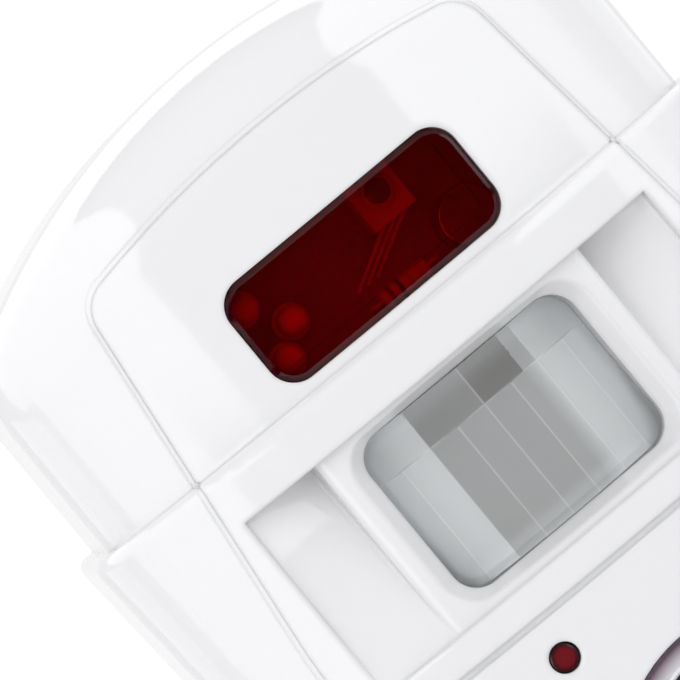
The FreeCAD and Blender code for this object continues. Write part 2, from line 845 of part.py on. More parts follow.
# Case shell
def boss_places():
    pairs = (("boss_top_side", "boss_top_level"), ("boss_foot_side", "boss_foot_level"))
    return [(sign + side, level) for side, level in pairs for sign in ("-", "")]


def case_shell():
    opening = panel_prism("ShellOpening", "-seam_gap", "skirt_back + opening_spare", AHEAD)
    seat = common("BackSeat", seat_form, slab("BackSeatSlab", "back + 1", "back - seat_depth"))
    hollow = fuse("ShellHollow", cavity, seat)
    bosses = [
        rod("Boss%d" % number, "boss_radius", "boss_length", side, "back - seat_depth - boss_length", level)
        for number, (side, level) in enumerate(boss_places(), start=1)
    ]
    pilots = pilot_holes("BossPilot", boss_places(), "back - seat_depth + screw_spare", "screw_length")
    knob_slot = knob_room("KnobSlot", "switch_face - 1", "shoulder_width")
    jack_hole = rod(
        "JackHole", "jack_collar + fit_gap", "shoulder_width", "jack_face - 2", "jack_middle", "jack_level",
        ALONG_X)
    walls = cut("ShellWalls", outer, hollow, opening)
    kept_bosses = common("ShellBosses", outer, fuse("ShellBossRods", *bosses))
    with_bosses = fuse("ShellWithBosses", walls, kept_bosses)
    return cut("CaseShell", with_bosses, knob_slot, jack_hole, foot_relief(), *pilots)


def foot_relief():
    """What is taken off round the flat land that the case stands on."""
    layer = block(
        "FootLayer", ("-foot_width", "foot_width"), ("-case_depth", "case_depth"),
        ("-1", "foot_relief_height"))
    land = block(
        "FootLand", ("-foot_land_width / 2", "foot_land_width / 2"),
        ("brow + foot_land_setback", "case_depth"), ("-2", "case_height"))
    return cut("FootRelief", layer, land)


def knob_room(name, near, far):
    """Slot that the switch knob travels in."""
    thick = "(knob_thick / 2 + switch_play)"
    length = "(knob_length / 2 + switch_throw + switch_play)"
    return block(
        name, (near, far), ("switch_middle - " + thick, "switch_middle + " + thick),
        ("switch_level - " + length, "switch_level + " + length))


# Signal window
def signal_window():
    """Red plug that fills the opening, a flange behind the cover and a hollow back."""
    low = "window_level - window_height / 2"
    high = "window_level + window_height / 2"
    front = "brow + shoulder_step + window_sunk"
    skin = "wall + panel_proud"
    depth = skin + " - window_sunk + window_flange"
    plug = bowed_strip("WindowPlug", "window_width / 2", front, depth, low, high)
    fillet(plug, "WindowCorners", edges_where(plug.Shape, lambda edge: runs_along(edge, 1)), "window_corner")
    chamfer(plug, "WindowBevel", front_rim(plug.Shape), "window_bevel")
    flange = bowed_strip(
        "WindowFlange", "window_width / 2 + window_lap", "brow + shoulder_step + fit_gap + " + skin,
        "window_flange - fit_gap", low + " - window_lap", high + " + window_lap", "face_radius - wall")
    hollow = bowed_strip(
        "WindowHollow", "window_width / 2 - window_wall", front + " + window_wall",
        "wall + 4 * window_flange", low + " + window_wall", high + " - window_wall",
        "face_radius - window_wall")
    return cut("SignalWindow", fuse("WindowSolid", plug, flange), hollow)


# Lens
def lens_y(x):
    """Depth of the lens front at a distance to the side."""
    return "brow + lens_apex_depth + " + face_sag(x, "lens_radius")


def lens_row(body, name, seams, low, high):
    """Row of flat facets between upright seams."""
    half = "lens_opening_width / 2 - lens_gap"
    sides = ["-(%s)" % half] + ["%g * lens_facet" % seam for seam in seams] + [half]
    front = [(x, lens_y(x)) for x in sides]
    back = "brow + lens_flange_depth + lens_flange / 2"
    outline = sketch(body, name, "XY_Plane", low, front + [(half, back), ("-(%s)" % half, back)])
    pad(body, outline, "(%s) - (%s)" % (high, low))


def fresnel_lens():
    """Faceted milky lens that bulges through its opening, with a flange behind the bezel."""
    body = new_body("LensBulge")
    low = "lens_level - lens_opening_height / 2 + lens_end_gap"
    high = "lens_level + lens_opening_height / 2 - lens_end_gap"
    lens_row(body, "LensLowerRow", range(-3, 4), low, "lens_row_level")
    lens_row(body, "LensUpperRow", (-2, 0, 2), "lens_row_level", high)
    outline = rounded_prism(
        "LensOutline", "lens_opening_width - 2 * lens_gap", "lens_opening_height - 2 * lens_end_gap",
        "lens_level", "lens_opening_corner", "skirt_back", "brow")
    bulge = common("LensRounded", body, outline)
    flange = lens_plate("LensFlange", "brow + lens_flange_depth", "lens_flange")
    half = "(lens_opening_width / 2 - lens_gap - lens_wall)"
    radius = "(lens_radius - lens_inner_step)"
    inner = new_body("LensHollow")
    side_y = "brow + lens_apex_depth + lens_radius - sqrt(%s ^ 2 - %s ^ 2)" % (radius, half)
    back = "brow + lens_flange_depth + 2 * lens_flange"
    corners = [("-" + half, side_y), (half, side_y), (half, back), ("-" + half, back)]
    plan = sketch(inner, "LensHollowPlan", "XY_Plane", low + " + lens_wall", corners, {0: radius})
    pad(inner, plan, "lens_opening_height - 2 * lens_end_gap - 2 * lens_wall")
    room = rounded_prism(
        "LensRoom", "lens_opening_width - 2 * lens_gap - 2 * lens_wall",
        "lens_opening_height - 2 * lens_end_gap - 2 * lens_wall", "lens_level",
        "lens_opening_corner - lens_wall", "skirt_back", "brow")
    return cut("FresnelLens", fuse("LensSolid", bulge, flange), common("LensInside", inner, room))


def lens_plate(name, front, thick):
    half = "lens_opening_width / 2 + lens_flange_lap"
    rise = "(lens_opening_height / 2 + lens_flange / 2)"
    return block(
        name, ("-(%s)" % half, half), (front, "%s + %s" % (front, thick)),
        ("lens_level - " + rise, "lens_level + " + rise))


def lens_retainer():
    """White frame that presses the lens flange home and leaves a slot for the sensor."""
    front = "brow + lens_flange_depth + lens_flange"
    plate = lens_plate("RetainerPlate", front, "retainer_thick")
    rise = "(lens_opening_height / 2 - 2 * lens_wall)"
    slot = block(
        "RetainerSlot", ("-retainer_slot / 2", "retainer_slot / 2"), (front + " - 1", "board_front"),
        ("lens_level - " + rise, "lens_level + " + rise))
    return cut("LensRetainer", plate, slot)


# Lights and electronics
def lamp(name, x, tip, level, back):
    """Round-nosed light with a flange and two legs that reach back to the board."""
    nose = doc.addObject("Part::Sphere", name + "Nose")
    bind(nose, Radius="led_radius")
    place(nose, x, tip + " + led_radius", level)
    barrel = rod(name + "Barrel", "led_radius", "led_length - led_radius", x, tip + " + led_radius", level)
    flange = rod(
        name + "Flange", "led_radius + led_flange", "led_foot", x, tip + " + led_length - led_foot", level)
    legs = [
        rod("%sLeg%d" % (name, number), "lead_radius", "(%s) - (%s) - led_length" % (back, tip),
            "%s + (%s)" % (x, offset), tip + " + led_length", level)
        for number, offset in enumerate(("leg_spread", "-leg_spread"), start=1)
    ]
    return fuse(name, nose, barrel, flange, *legs)


def indicator_leds():
    """Three small lights behind the signal window's left half."""
    tip = "board_front - led_length - indicator_stand"
    lamps = []
    for which in ("near", "high", "low"):
        side = "-indicator_%s_side" % which
        level = "indicator_%s_level" % which
        lamps.append(lamp("Indicator" + which.title(), side, tip, level, "board_front"))
    return group("IndicatorLeds", *lamps)


def main_board():
    body = new_body("MainBoard")
    corners = [
        ("-board_left", "board_foot"), ("board_right", "board_foot"), ("board_right", "board_shoulder"),
        ("board_left", "board_top"), ("-board_left", "board_top"),
    ]
    outline = sketch(body, "BoardOutline", "XZ_Plane", "-board_back", corners)
    pad(body, outline, "board_thick")
    fillet(body, "BoardCorners", edges_where(body.Shape, lambda edge: runs_along(edge, 1)), "board_corner")
    holes = circle_sketch(body, "BoardHoles", "XZ_Plane", "-board_back", post_places(), "board_hole")
    pocket(body, holes, "board_thick", flip=True)
    return body


def pir_sensor():
    """Metal can with a flange and a sunk filter window."""
    can = rod("PirCan", "pir_radius", "pir_height", y="board_front - pir_height", z="lens_level")
    flange = rod(
        "PirFlange", "pir_radius + pir_lip", "pir_flange", y="board_front - pir_flange", z="lens_level")
    window = block(
        "PirWindow", ("-pir_window_width / 2", "pir_window_width / 2"),
        ("board_front - pir_height - 1", "board_front - pir_height + pir_window_sunk"),
        ("lens_level - pir_window_height / 2", "lens_level + pir_window_height / 2"))
    return cut("PirSensor", fuse("PirSolid", can, flange), window)


def infrared_receiver():
    """Moulded receiver with a round eye, held off the board by three slanting legs."""
    back = "board_front - receiver_stand"
    half = "receiver_width / 2"
    case = block(
        "ReceiverCase", ("receiver_side - " + half, "receiver_side + " + half),
        (back + " - receiver_depth", back),
        ("receiver_level - receiver_height / 2", "receiver_level + receiver_height / 2"))
    eye = doc.addObject("Part::Sphere", "ReceiverEye")
    bind(eye, Radius="receiver_dome")
    place(eye, "receiver_side", back + " - receiver_depth + receiver_dome_sunk", "receiver_level")
    fall = "(receiver_stand + receiver_depth / 2)"
    length = "sqrt(receiver_leg_shift ^ 2 + %s ^ 2 + receiver_leg_drop ^ 2)" % fall
    slant = FreeCAD.Vector(-value("receiver_leg_shift"), value(fall), -value("receiver_leg_drop"))
    turn = FreeCAD.Rotation(FreeCAD.Vector(0, 0, 1), slant)
    legs = [
        rod("ReceiverLeg%d" % number, "lead_radius", length,
            "receiver_side + (%d) * receiver_leg_spacing" % step, back + " - receiver_depth / 2",
            "receiver_level - receiver_height / 2", turn)
        for number, step in enumerate((-1, 0, 1), start=1)
    ]
    behind = slab("ReceiverBehind", "0", "board_front")
    return cut("InfraredReceiver", fuse("ReceiverSolid", case, eye, *legs), behind)


def storage_capacitor():
    can = new_body("StorageCapacitor")
    middle = [("capacitor_side", "capacitor_level")]
    outline = circle_sketch(can, "CapacitorRound", "XZ_Plane", "-board_front", middle, "capacitor_radius")
    pad(can, outline, "capacitor_height")
    front = value("board_front - capacitor_height") + NEAR
    front_edge = edges_where(can.Shape, lambda edge: edge.BoundBox.YMax < front)
    fillet(can, "CapacitorEdge", front_edge, "capacitor_round")
    return can


def control_chip():
    """Chip on the back of the board with a row of legs along each side."""
    body = block(
        "ChipBody", ("-chip_width / 2", "chip_width / 2"),
        ("board_back + chip_foot / 2", "board_back + chip_height"),
        ("chip_level - chip_length / 2", "chip_level + chip_length / 2"))
    reach = "chip_width / 2 + chip_leg_reach"
    legs = []
    for number in range(CHIP_LEGS):
        level = "chip_level + (%g) * chip_leg_spacing" % (number - (CHIP_LEGS - 1) / 2)
        legs.append(block(
            "ChipLegs%d" % number, ("-(%s)" % reach, reach), ("board_back", "board_back + chip_foot"),
            (level + " - chip_foot / 2", level + " + chip_foot / 2")))
    return fuse("ControlChip", body, *legs)


def board_resistors():
    """Row of resistors across the front of the board, under the signal window."""
    bodies = []
    for number in range(RESISTORS):
        start = "resistor_side - resistor_length / 2"
        level = "resistor_level + %d * resistor_spacing" % number
        middle = "board_front - resistor_radius"
        case = rod("Resistor%d" % number, "resistor_radius", "resistor_length", start, middle, level, ALONG_X)
        wire = rod(
            "ResistorWire%d" % number, "lead_radius", "resistor_length + 2 * resistor_wire",
            start + " - resistor_wire", middle, level, ALONG_X)
        bodies.append(fuse("ResistorWhole%d" % number, case, wire))
    return group("BoardResistors", *bodies)


# Switch and inlet
def power_switch():
    half = "switch_length / 2"
    case = block(
        "SwitchCase", ("switch_face - switch_depth", "switch_face"),
        ("board_back", "board_back + switch_height"), ("switch_level - " + half, "switch_level + " + half))
    slot = knob_room("SwitchSlot", "switch_face - knob_foot - switch_play", "switch_face + 1")
    return cut("PowerSwitch", case, slot)


def switch_knob():
    """Knob in its middle place, with a bevelled end."""
    body = new_body("SwitchKnob")
    half_y = "knob_thick / 2"
    half_z = "knob_length / 2"
    corners = [
        ("switch_middle - " + half_y, "switch_level - " + half_z),
        ("switch_middle + " + half_y, "switch_level - " + half_z),
        ("switch_middle + " + half_y, "switch_level + " + half_z),
        ("switch_middle - " + half_y, "switch_level + " + half_z),
    ]
    outline = sketch(body, "KnobOutline", "YZ_Plane", "switch_face - knob_foot", corners)
    pad(body, outline, "knob_foot + knob_reach")
    end = value("switch_face + knob_reach") - NEAR
    end_edges = edges_where(body.Shape, lambda edge: edge.BoundBox.XMin > end)
    chamfer(body, "KnobEnd", end_edges, "knob_bevel")
    return body


def dc_jack():
    """Inlet with a round collar that fills the hole in the shell, a bore and its middle pin."""
    half = "jack_width / 2"
    case = block(
        "JackCase", ("jack_face - jack_length", "jack_face"), ("board_back", "board_back + jack_width"),
        ("jack_level - " + half, "jack_level + " + half))
    collar = rod("JackCollar", "jack_collar", "jack_reach", "jack_face", "jack_middle", "jack_level", ALONG_X)
    floor = "jack_face + jack_reach - jack_bore_depth"
    bore = rod("JackBore", "jack_bore", "jack_bore_depth + 1", floor, "jack_middle", "jack_level", ALONG_X)
    pin = rod("JackPin", "jack_pin", "jack_bore_depth", floor + " - 1", "jack_middle", "jack_level", ALONG_X)
    return fuse("DcJack", cut("JackBored", fuse("JackSolid", case, collar), bore), pin)


# Siren
def siren_ring():
    """Rounded ring in the cover's round seat, on the rim of the grille."""
    ring = new_body("SirenRing")
    bind_level(ring)
    back = "-(brow + siren_sunk - grille_thick)"
    outline = circle_sketch(ring, "RingOutline", "XZ_Plane", back, [("0", "0")], "siren_radius")
    pad(ring, outline, "ring_height")
    hole = circle_sketch(ring, "RingHole", "XZ_Plane", back, [("0", "0")], "siren_radius - ring_width")
    pocket(ring, hole, "ring_height", flip=True)
    fillet(ring, "RingRound", front_rim(ring.Shape), "ring_round")
    return ring


def bind_level(body):
    """Put a body's origin in the middle of the siren."""
    place(body, "0", "0", "siren_level")


def siren_grille():
    """Perforated disc: a middle hole and three rings of 6, 12 and 18."""
    grille = new_body("SirenGrille")
    bind_level(grille)
    back = "-(brow + siren_sunk)"
    disc = circle_sketch(grille, "GrilleRound", "XZ_Plane", back, [("0", "0")], "siren_radius - fit_gap")
    pad(grille, disc, "grille_thick")
    middle = circle_sketch(grille, "GrilleMiddle", "XZ_Plane", back, [("0", "0")], "grille_hole")
    pocket(grille, middle, "grille_thick", flip=True)
    for ring in (1, 2, 3):
        start = [("%d * grille_spacing" % ring, "0")]
        hole = circle_sketch(grille, "GrilleHole%d" % ring, "XZ_Plane", back, start, "grille_hole")
        first = pocket(grille, hole, "grille_thick", flip=True)
        pattern = grille.newObject("PartDesign::PolarPattern", "GrilleRing%d" % ring)
        pattern.Originals = [first]
        pattern.Axis = (hole, ["N_Axis"])
        pattern.Angle = 360
        pattern.Occurrences = HOLES_PER_RING * ring
        grille.Tip = pattern
        doc.recompute()
    return grille


def siren_case():
    """Cup behind the grille, with a screw flange at its mouth and a step for the sounder disc."""
    radius = "(piezo_radius + fit_gap + siren_case_wall)"
    cup = rod("SirenCup", radius, "siren_case_depth", y="siren_back", z="siren_level")
    flange = rod("SirenFlange", "siren_boss", "siren_flange", y="siren_back", z="siren_level")
    mouth = rod(
        "SirenMouth", "piezo_radius + fit_gap", "siren_ledge + 1", y="siren_back - 1", z="siren_level")
    chamber = rod(
        "SirenChamber", "piezo_radius - siren_step", "siren_case_depth - siren_case_wall", y="siren_back",
        z="siren_level")
    holes = [
        rod("SirenFlangeHole%d" % number, "board_hole", "siren_flange + 2", x, "siren_back - 1", z)
        for number, (x, z) in enumerate(siren_screw_places(), start=1)
    ]
    return cut("SirenCase", fuse("SirenCaseSolid", cup, flange), mouth, chamber, *holes)


def piezo_disc():
    front = "siren_back + siren_ledge - piezo_thick"
    return rod("PiezoDisc", "piezo_radius", "piezo_thick", y=front, z="siren_level")


# Battery bay and back cover
def door_plate(name, spare, back, front):
    """Rectangle of the battery door, drawn in by a spare gap."""
    half = "tub_half + door_ledge - (%s)" % spare
    levels = ("battery_foot - door_ledge + (%s)" % spare, "tub_top + door_ledge - (%s)" % spare)
    return block(name, ("-(%s)" % half, half), (front, back), levels)


def door_tabs(name, spare, back):
    """Two tongues at the door's foot and the latch at its top."""
    front = "back - door_thick"
    foot = "battery_foot - door_ledge"
    tabs = []
    for number, side in enumerate(("-door_tab_side", "door_tab_side"), start=1):
        half = "(door_tab_width / 2 - (%s))" % spare
        levels = ("%s - door_tab_reach + (%s)" % (foot, spare), foot + " + door_gap")
        tabs.append(block(
            "%sTab%d" % (name, number), ("%s - %s" % (side, half), "%s + %s" % (side, half)), (front, back),
            levels))
    half = "(door_latch_width / 2 - (%s))" % spare
    tabs.append(block(
        name + "Latch", ("-" + half, half), (front, back),
        ("tub_top + door_ledge - door_gap", "tub_top + door_ledge + door_tab_reach - (%s)" % spare)))
    return tabs


def keyhole(name, side):
    """Round entry for a screw head, with a neck above it that the screw drops into."""
    front = "back - seat_depth - 1"
    entry = rod(name + "Entry", "keyhole_entry", "seat_depth + 2", side, front, "keyhole_level")
    neck = block(
        name + "Neck", (side + " - keyhole_neck", side + " + keyhole_neck"), (front, "back + 1"),
        ("keyhole_level", "keyhole_level + keyhole_rise"))
    end = rod(name + "End", "keyhole_neck", "seat_depth + 2", side, front, "keyhole_level + keyhole_rise")
    return [entry, neck, end]


def back_cover():
    """Flat back with the battery bay, the door's seat, two keyholes and four screw holes."""
    plate = common("BackPlate", plate_form, slab("BackSlab", "back", "back - seat_depth"))
    tub = block(
        "TubOuter", ("-(tub_half + tub_wall)", "tub_half + tub_wall"),
        ("tub_floor - tub_wall", "back - seat_depth"), ("battery_foot - tub_wall", "tub_top + tub_wall"))
    frame = door_plate(
        "DoorFrame", "-door_frame", "back - seat_depth", "back - door_thick - door_frame_depth")
    tub_room = block(
        "TubRoom", ("-tub_half", "tub_half"), ("tub_floor", "back + 1"), ("battery_foot", "tub_top"))
    recess = door_plate("DoorRecess", "0", "back + 1", "back - door_thick - fit_gap")
    notches = door_tabs("DoorNotch", "0", "back + 1")
    keyholes = keyhole("KeyholeLeft", "-keyhole_side") + keyhole("KeyholeRight", "keyhole_side")
    screw_holes = []
    for number, (side, level) in enumerate(boss_places(), start=1):
        screw_holes.append(rod(
            "BackHole%d" % number, "screw_radius + 2 * fit_gap", "seat_depth + 1", side,
            "back - seat_depth - 0.5", level))
        screw_holes.append(rod(
            "BackSink%d" % number, "screw_head + fit_gap", "seat_depth", side, "screw_seat", level))
    solid = fuse("BackSolid", plate, tub, frame)
    return cut("BackCover", solid, tub_room, recess, *notches, *keyholes, *screw_holes)


def battery_door():
    """Door with two tongues, a latch and a patch of grip grooves."""
    plate = door_plate("DoorPlate", "door_gap", "back", "back - door_thick")
    tabs = door_tabs("Door", "door_gap", "back")
    grooves = []
    for number in range(GRIP_GROOVES):
        level = "tub_top - %d * grip_spacing" % number
        grooves.append(block(
            "GripGroove%d" % number, ("-door_latch_width / 2", "door_latch_width / 2"),
            ("back - grip_depth", "back + 1"), (level + " - grip_width", level)))
    return cut("BatteryDoor", fuse("DoorSolid", plate, *tabs), *grooves)


def cell_place(number):
    """Side position of a cell and whether its nub points up."""
    return "%g * cell_spacing" % (number - (CELLS + 1) / 2), number % 2 == 1


def battery_cell(number):
    x, up = cell_place(number)
    foot = "battery_foot + contact_thick + contact_gap"
    can_foot = foot + (" + spring_reach" if up else " + cell_nub")
    nub_foot = can_foot + " + cell_length" if up else foot
    can = rod("Cell%dCan" % number, "cell_radius", "cell_length", x, "cell_middle", can_foot, UPRIGHT)
    nub = rod("Cell%dNub" % number, "cell_nub_radius", "cell_nub", x, "cell_middle", nub_foot, UPRIGHT)
    return fuse("Cell%d" % number, can, nub)


def contact_plate(name, x, at_top):
    level = "tub_top - contact_thick" if at_top else "battery_foot"
    half = "contact_width / 2"
    return block(
        name, ("%s - %s" % (x, half), "%s + %s" % (x, half)),
        ("cell_middle - contact_height / 2", "cell_middle + contact_height / 2"),
        (level, level + " + contact_thick"))


def leaf_spring(name, x, at_top):
    """Contact plate with a bowed leaf that bears on the cell's flat end."""
    plate = contact_plate(name + "Plate", x, at_top)
    leaf = new_body(name + "Leaf")
    half = "(contact_height / 2)"
    inner = "(contact_height / 2 - contact_thick)"
    radius = "((%s ^ 2 + spring_reach ^ 2) / (2 * spring_reach))" % half
    inner_rise = "(spring_reach - contact_thick)"
    inner_radius = "((%s ^ 2 + %s ^ 2) / (2 * %s))" % (inner, inner_rise, inner_rise)
    corners = [(half, "0"), ("-" + half, "0"), ("-" + inner, "0"), (inner, "0")]
    arcs = {0: radius, 2: "-" + inner_radius}
    outline = sketch(leaf, name + "Arch", "YZ_Plane", "-contact_width / 2", corners, arcs)
    pad(leaf, outline, "contact_width")
    level = "tub_top - contact_thick" if at_top else "battery_foot + contact_thick"
    turn = FreeCAD.Rotation(FreeCAD.Vector(0, 1, 0), 180 if at_top else 0)
    place(leaf, x, "cell_middle", level, turn)
    return fuse(name, plate, leaf)


def contacts():
    """Flat contacts at the nubs and leaf springs at the other ends."""
    plates, springs = [], []
    for number in range(1, CELLS + 1):
        x, up = cell_place(number)
        plates.append(contact_plate("NubContact%d" % number, x, up))
        springs.append(leaf_spring("Leaf%d" % number, x, not up))
    return group("PlateContacts", *plates), group("SpringContacts", *springs)


# Screws
def screws(name, places, seat, length):
    """Pan-head screws with a crossed slot, heads towards the back."""
    solids = []
    for number, (x, level) in enumerate(places, start=1):
        one = "%s%d" % (name, number)
        shank = rod(one + "Shank", "screw_radius", length, x, "%s - (%s)" % (seat, length), level)
        head = rod(one + "Head", "screw_head", "screw_head_height", x, seat, level)
        floor = "%s + screw_head_height / 2" % seat
        depth = (floor, floor + " + screw_head_height")
        long_half, thin_half = "screw_slot_reach", "screw_slot / 2"
        slots = [
            block(one + slot, ("%s - %s" % (x, across), "%s + %s" % (x, across)), depth,
                  ("%s - %s" % (level, up), "%s + %s" % (level, up)))
            for slot, across, up in (("SlotA", long_half, thin_half), ("SlotB", thin_half, long_half))
        ]
        solids.append(cut(one, fuse(one + "Solid", shank, head), *slots))
    return group(name, *solids)


# Sub-parts
finish("front_cover", front_cover())
finish("case_shell", case_shell())
finish("signal_window", signal_window())
finish("fresnel_lens", fresnel_lens())
finish("lens_retainer", lens_retainer())
finish("status_led", lamp("StatusLed", "-led_side", "led_tip", "led_level", "board_front"))
finish("indicator_leds", indicator_leds())
finish("main_board", main_board())
finish("pir_sensor", pir_sensor())
finish("infrared_receiver", infrared_receiver())
finish("storage_capacitor", storage_capacitor())
finish("control_chip", control_chip())
finish("board_resistors", board_resistors())
finish("power_switch", power_switch())
finish("switch_knob", switch_knob())
finish("dc_jack", dc_jack())
finish("siren_ring", siren_ring())
finish("siren_grille", siren_grille())
finish("siren_case", siren_case())
finish("piezo_disc", piezo_disc())
finish("back_cover", back_cover())
finish("battery_door", battery_door())
for cell_number in range(1, CELLS + 1):
    finish("battery_cell_%d" % cell_number, battery_cell(cell_number))
plate_contacts, spring_contacts = contacts()
finish("plate_contacts", plate_contacts)
finish("spring_contacts", spring_contacts)
finish("case_screws", screws("CaseScrews", boss_places(), "screw_seat", "screw_length"))
finish("board_screws", screws("BoardScrews", post_places(), "board_back", "board_thick + board_screw_grip"))
finish("siren_screws", screws(
    "SirenScrews", siren_screw_places(), "siren_back + siren_flange", "siren_flange + siren_screw_grip"))


# Check and export
doc.recompute()
for thing in doc.Objects:
    if "Invalid" in thing.State or "Error" in thing.State:
        raise ValueError("%s failed: %s" % (thing.Name, thing.State))
for node, solid in parts.items():
    if solid.Shape.isNull() or not solid.Shape.isValid():
        raise ValueError("%s has no valid shape" % node)
os.makedirs("parts", exist_ok=True)
for node, solid in parts.items():
    solid.Shape.exportStep("parts/%s.step" % node)
    print("%-20s %10.1f mm3, %d solids" % (node, solid.Shape.Volume, len(solid.Shape.Solids)))
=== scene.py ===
# %% [markdown]
# # Motion sensor alarm
# The case, cover and electronics come from the CAD model. This lesson gives them the photograph's camera,
# studio light and procedural finishes, and adds what CAD leaves out: the facets and grooves of the lens, the
# ledge in the cover's seam and the solder on the board.

# %% Load the CAD frame
import math

import bmesh
import bpy
from mathutils import Matrix, Vector
from mathutils.bvhtree import BVHTree


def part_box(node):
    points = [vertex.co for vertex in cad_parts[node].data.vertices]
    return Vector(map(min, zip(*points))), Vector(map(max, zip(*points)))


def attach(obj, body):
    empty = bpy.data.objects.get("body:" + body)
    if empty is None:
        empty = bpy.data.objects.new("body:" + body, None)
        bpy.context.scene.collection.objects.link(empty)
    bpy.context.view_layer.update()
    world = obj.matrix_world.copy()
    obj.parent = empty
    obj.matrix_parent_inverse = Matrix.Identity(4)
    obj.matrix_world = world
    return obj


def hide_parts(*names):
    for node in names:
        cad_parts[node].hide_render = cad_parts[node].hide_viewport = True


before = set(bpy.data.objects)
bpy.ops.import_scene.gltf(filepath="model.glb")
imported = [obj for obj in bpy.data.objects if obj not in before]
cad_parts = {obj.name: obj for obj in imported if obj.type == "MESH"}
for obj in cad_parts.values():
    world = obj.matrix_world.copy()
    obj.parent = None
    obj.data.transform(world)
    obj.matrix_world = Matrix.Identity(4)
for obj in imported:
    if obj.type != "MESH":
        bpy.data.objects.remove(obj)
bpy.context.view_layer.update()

MM = 0.001

# %% [markdown]
# ## Camera
# The photograph looks at the face a little from the left and from above, and the camera is rolled by 39.5
# degrees. A long lens keeps the outline almost parallel, as it is there. The place of the camera follows from
# the point it looks at, two angles and a distance, so each can be corrected by itself.

# %% Place the camera
AZIMUTH = math.radians(5.419)
ELEVATION = math.radians(2.292)
ROLL = math.radians(39.519)
AIM = Vector((-7.184, -21.0, 91.443)) * MM
DISTANCE = 606.03 * MM

backward = Vector((
    -math.sin(AZIMUTH) * math.cos(ELEVATION), -math.cos(AZIMUTH) * math.cos(ELEVATION), math.sin(ELEVATION)))
right = Vector((0, 0, 1)).cross(backward).normalized()
upward = backward.cross(right)
camera_x = right * math.cos(ROLL) - upward * math.sin(ROLL)
camera_y = right * math.sin(ROLL) + upward * math.cos(ROLL)

camera = bpy.data.objects.new("camera", bpy.data.cameras.new("camera"))
camera.data.lens = 328.02
camera.data.sensor_width = 36
camera.data.clip_start = 0.01
camera.matrix_world = Matrix((camera_x, camera_y, backward)).transposed().to_4x4()
camera.location = AIM + backward * DISTANCE
bpy.context.collection.objects.link(camera)
bpy.context.scene.camera = camera
print("camera at", tuple(round(v, 3) for v in camera.location))

# %% [markdown]
# ## Shader helpers
# One function turns a written sRGB colour into linear values, and one adds a node with its settings, its
# input values and its links. Patterns read object coordinates in metres, so a scale is one over a real size.


# %% Define the shader helpers
def linear(code, share=1.0):
    """Linear colour of an sRGB hex code, made darker by a share."""
    values = [int(code[i:i + 2], 16) / 255 for i in (0, 2, 4)]
    return [share * (v / 12.92 if v <= 0.04045 else ((v + 0.055) / 1.055) ** 2.4) for v in values] + [1.0]


def add(tree, kind, inputs=None, **settings):
    """Add a node: a node or socket given as an input is linked, any other value is set."""
    made = tree.nodes.new(kind)
    for name, value in settings.items():
        setattr(made, name, value)
    for name, value in (inputs or {}).items():
        source = value.outputs[0] if isinstance(value, bpy.types.Node) else value
        if isinstance(source, bpy.types.NodeSocket):
            tree.links.new(source, made.inputs[name])
        else:
            made.inputs[name].default_value = source
    return made


def start_material(name):
    """Empty material, its tree and the object coordinates in it."""
    material = bpy.data.materials.new(name)
    material.use_nodes = True
    tree = material.node_tree
    tree.nodes.clear()
    return material, tree, add(tree, "ShaderNodeTexCoord").outputs["Object"]


def within(tree, where, limits, soft=0.02):
    """1 where a point lies between limits in millimetres, else 0, with a soft edge.

    Limits are given for X, Y or Z, or as "around": (x, z, low, high) for a distance from an axis along Y.
    """
    axes = add(tree, "ShaderNodeSeparateXYZ", {0: where})
    mask = None
    for axis, span in limits.items():
        low, high = span[-2:]
        if axis == "around":
            flat = add(tree, "ShaderNodeVectorMath", {0: where, 1: (1, 0, 1)}, operation="MULTIPLY")
            centre = (span[0] * MM, 0, span[1] * MM)
            away = add(tree, "ShaderNodeVectorMath", {0: flat, 1: centre}, operation="DISTANCE")
            value = away.outputs["Value"]
        else:
            value = axes.outputs[axis]
        off = add(tree, "ShaderNodeMath", {0: value, 1: (low + high) / 2 * MM}, operation="SUBTRACT")
        far = add(tree, "ShaderNodeMath", {0: off}, operation="ABSOLUTE")
        half = (high - low) / 2
        inside = add(tree, "ShaderNodeMapRange", {
            "Value": far, "From Min": (half - soft) * MM, "From Max": half * MM,
            "To Min": 1.0, "To Max": 0.0})
        mask = add(tree, "ShaderNodeMath", {0: mask, 1: inside}, operation="MULTIPLY") if mask else inside
    return mask


print("helpers ready")

# %% [markdown]
# ## Solid finishes
# A moulded or rolled surface is never perfectly even. Its colour varies by a few percent, a mould or a roller
# leaves a long, faint wave, handling leaves an uneven gloss, and a fine grain shows close up. Each material
# could have its own tree, but the layers are the same in all of them, so one function builds them from real
# sizes, and each part's finish is one call of it. Where a part has two finishes, such as a lamp's resin and
# its metal legs, a mask from object coordinates tells them apart.


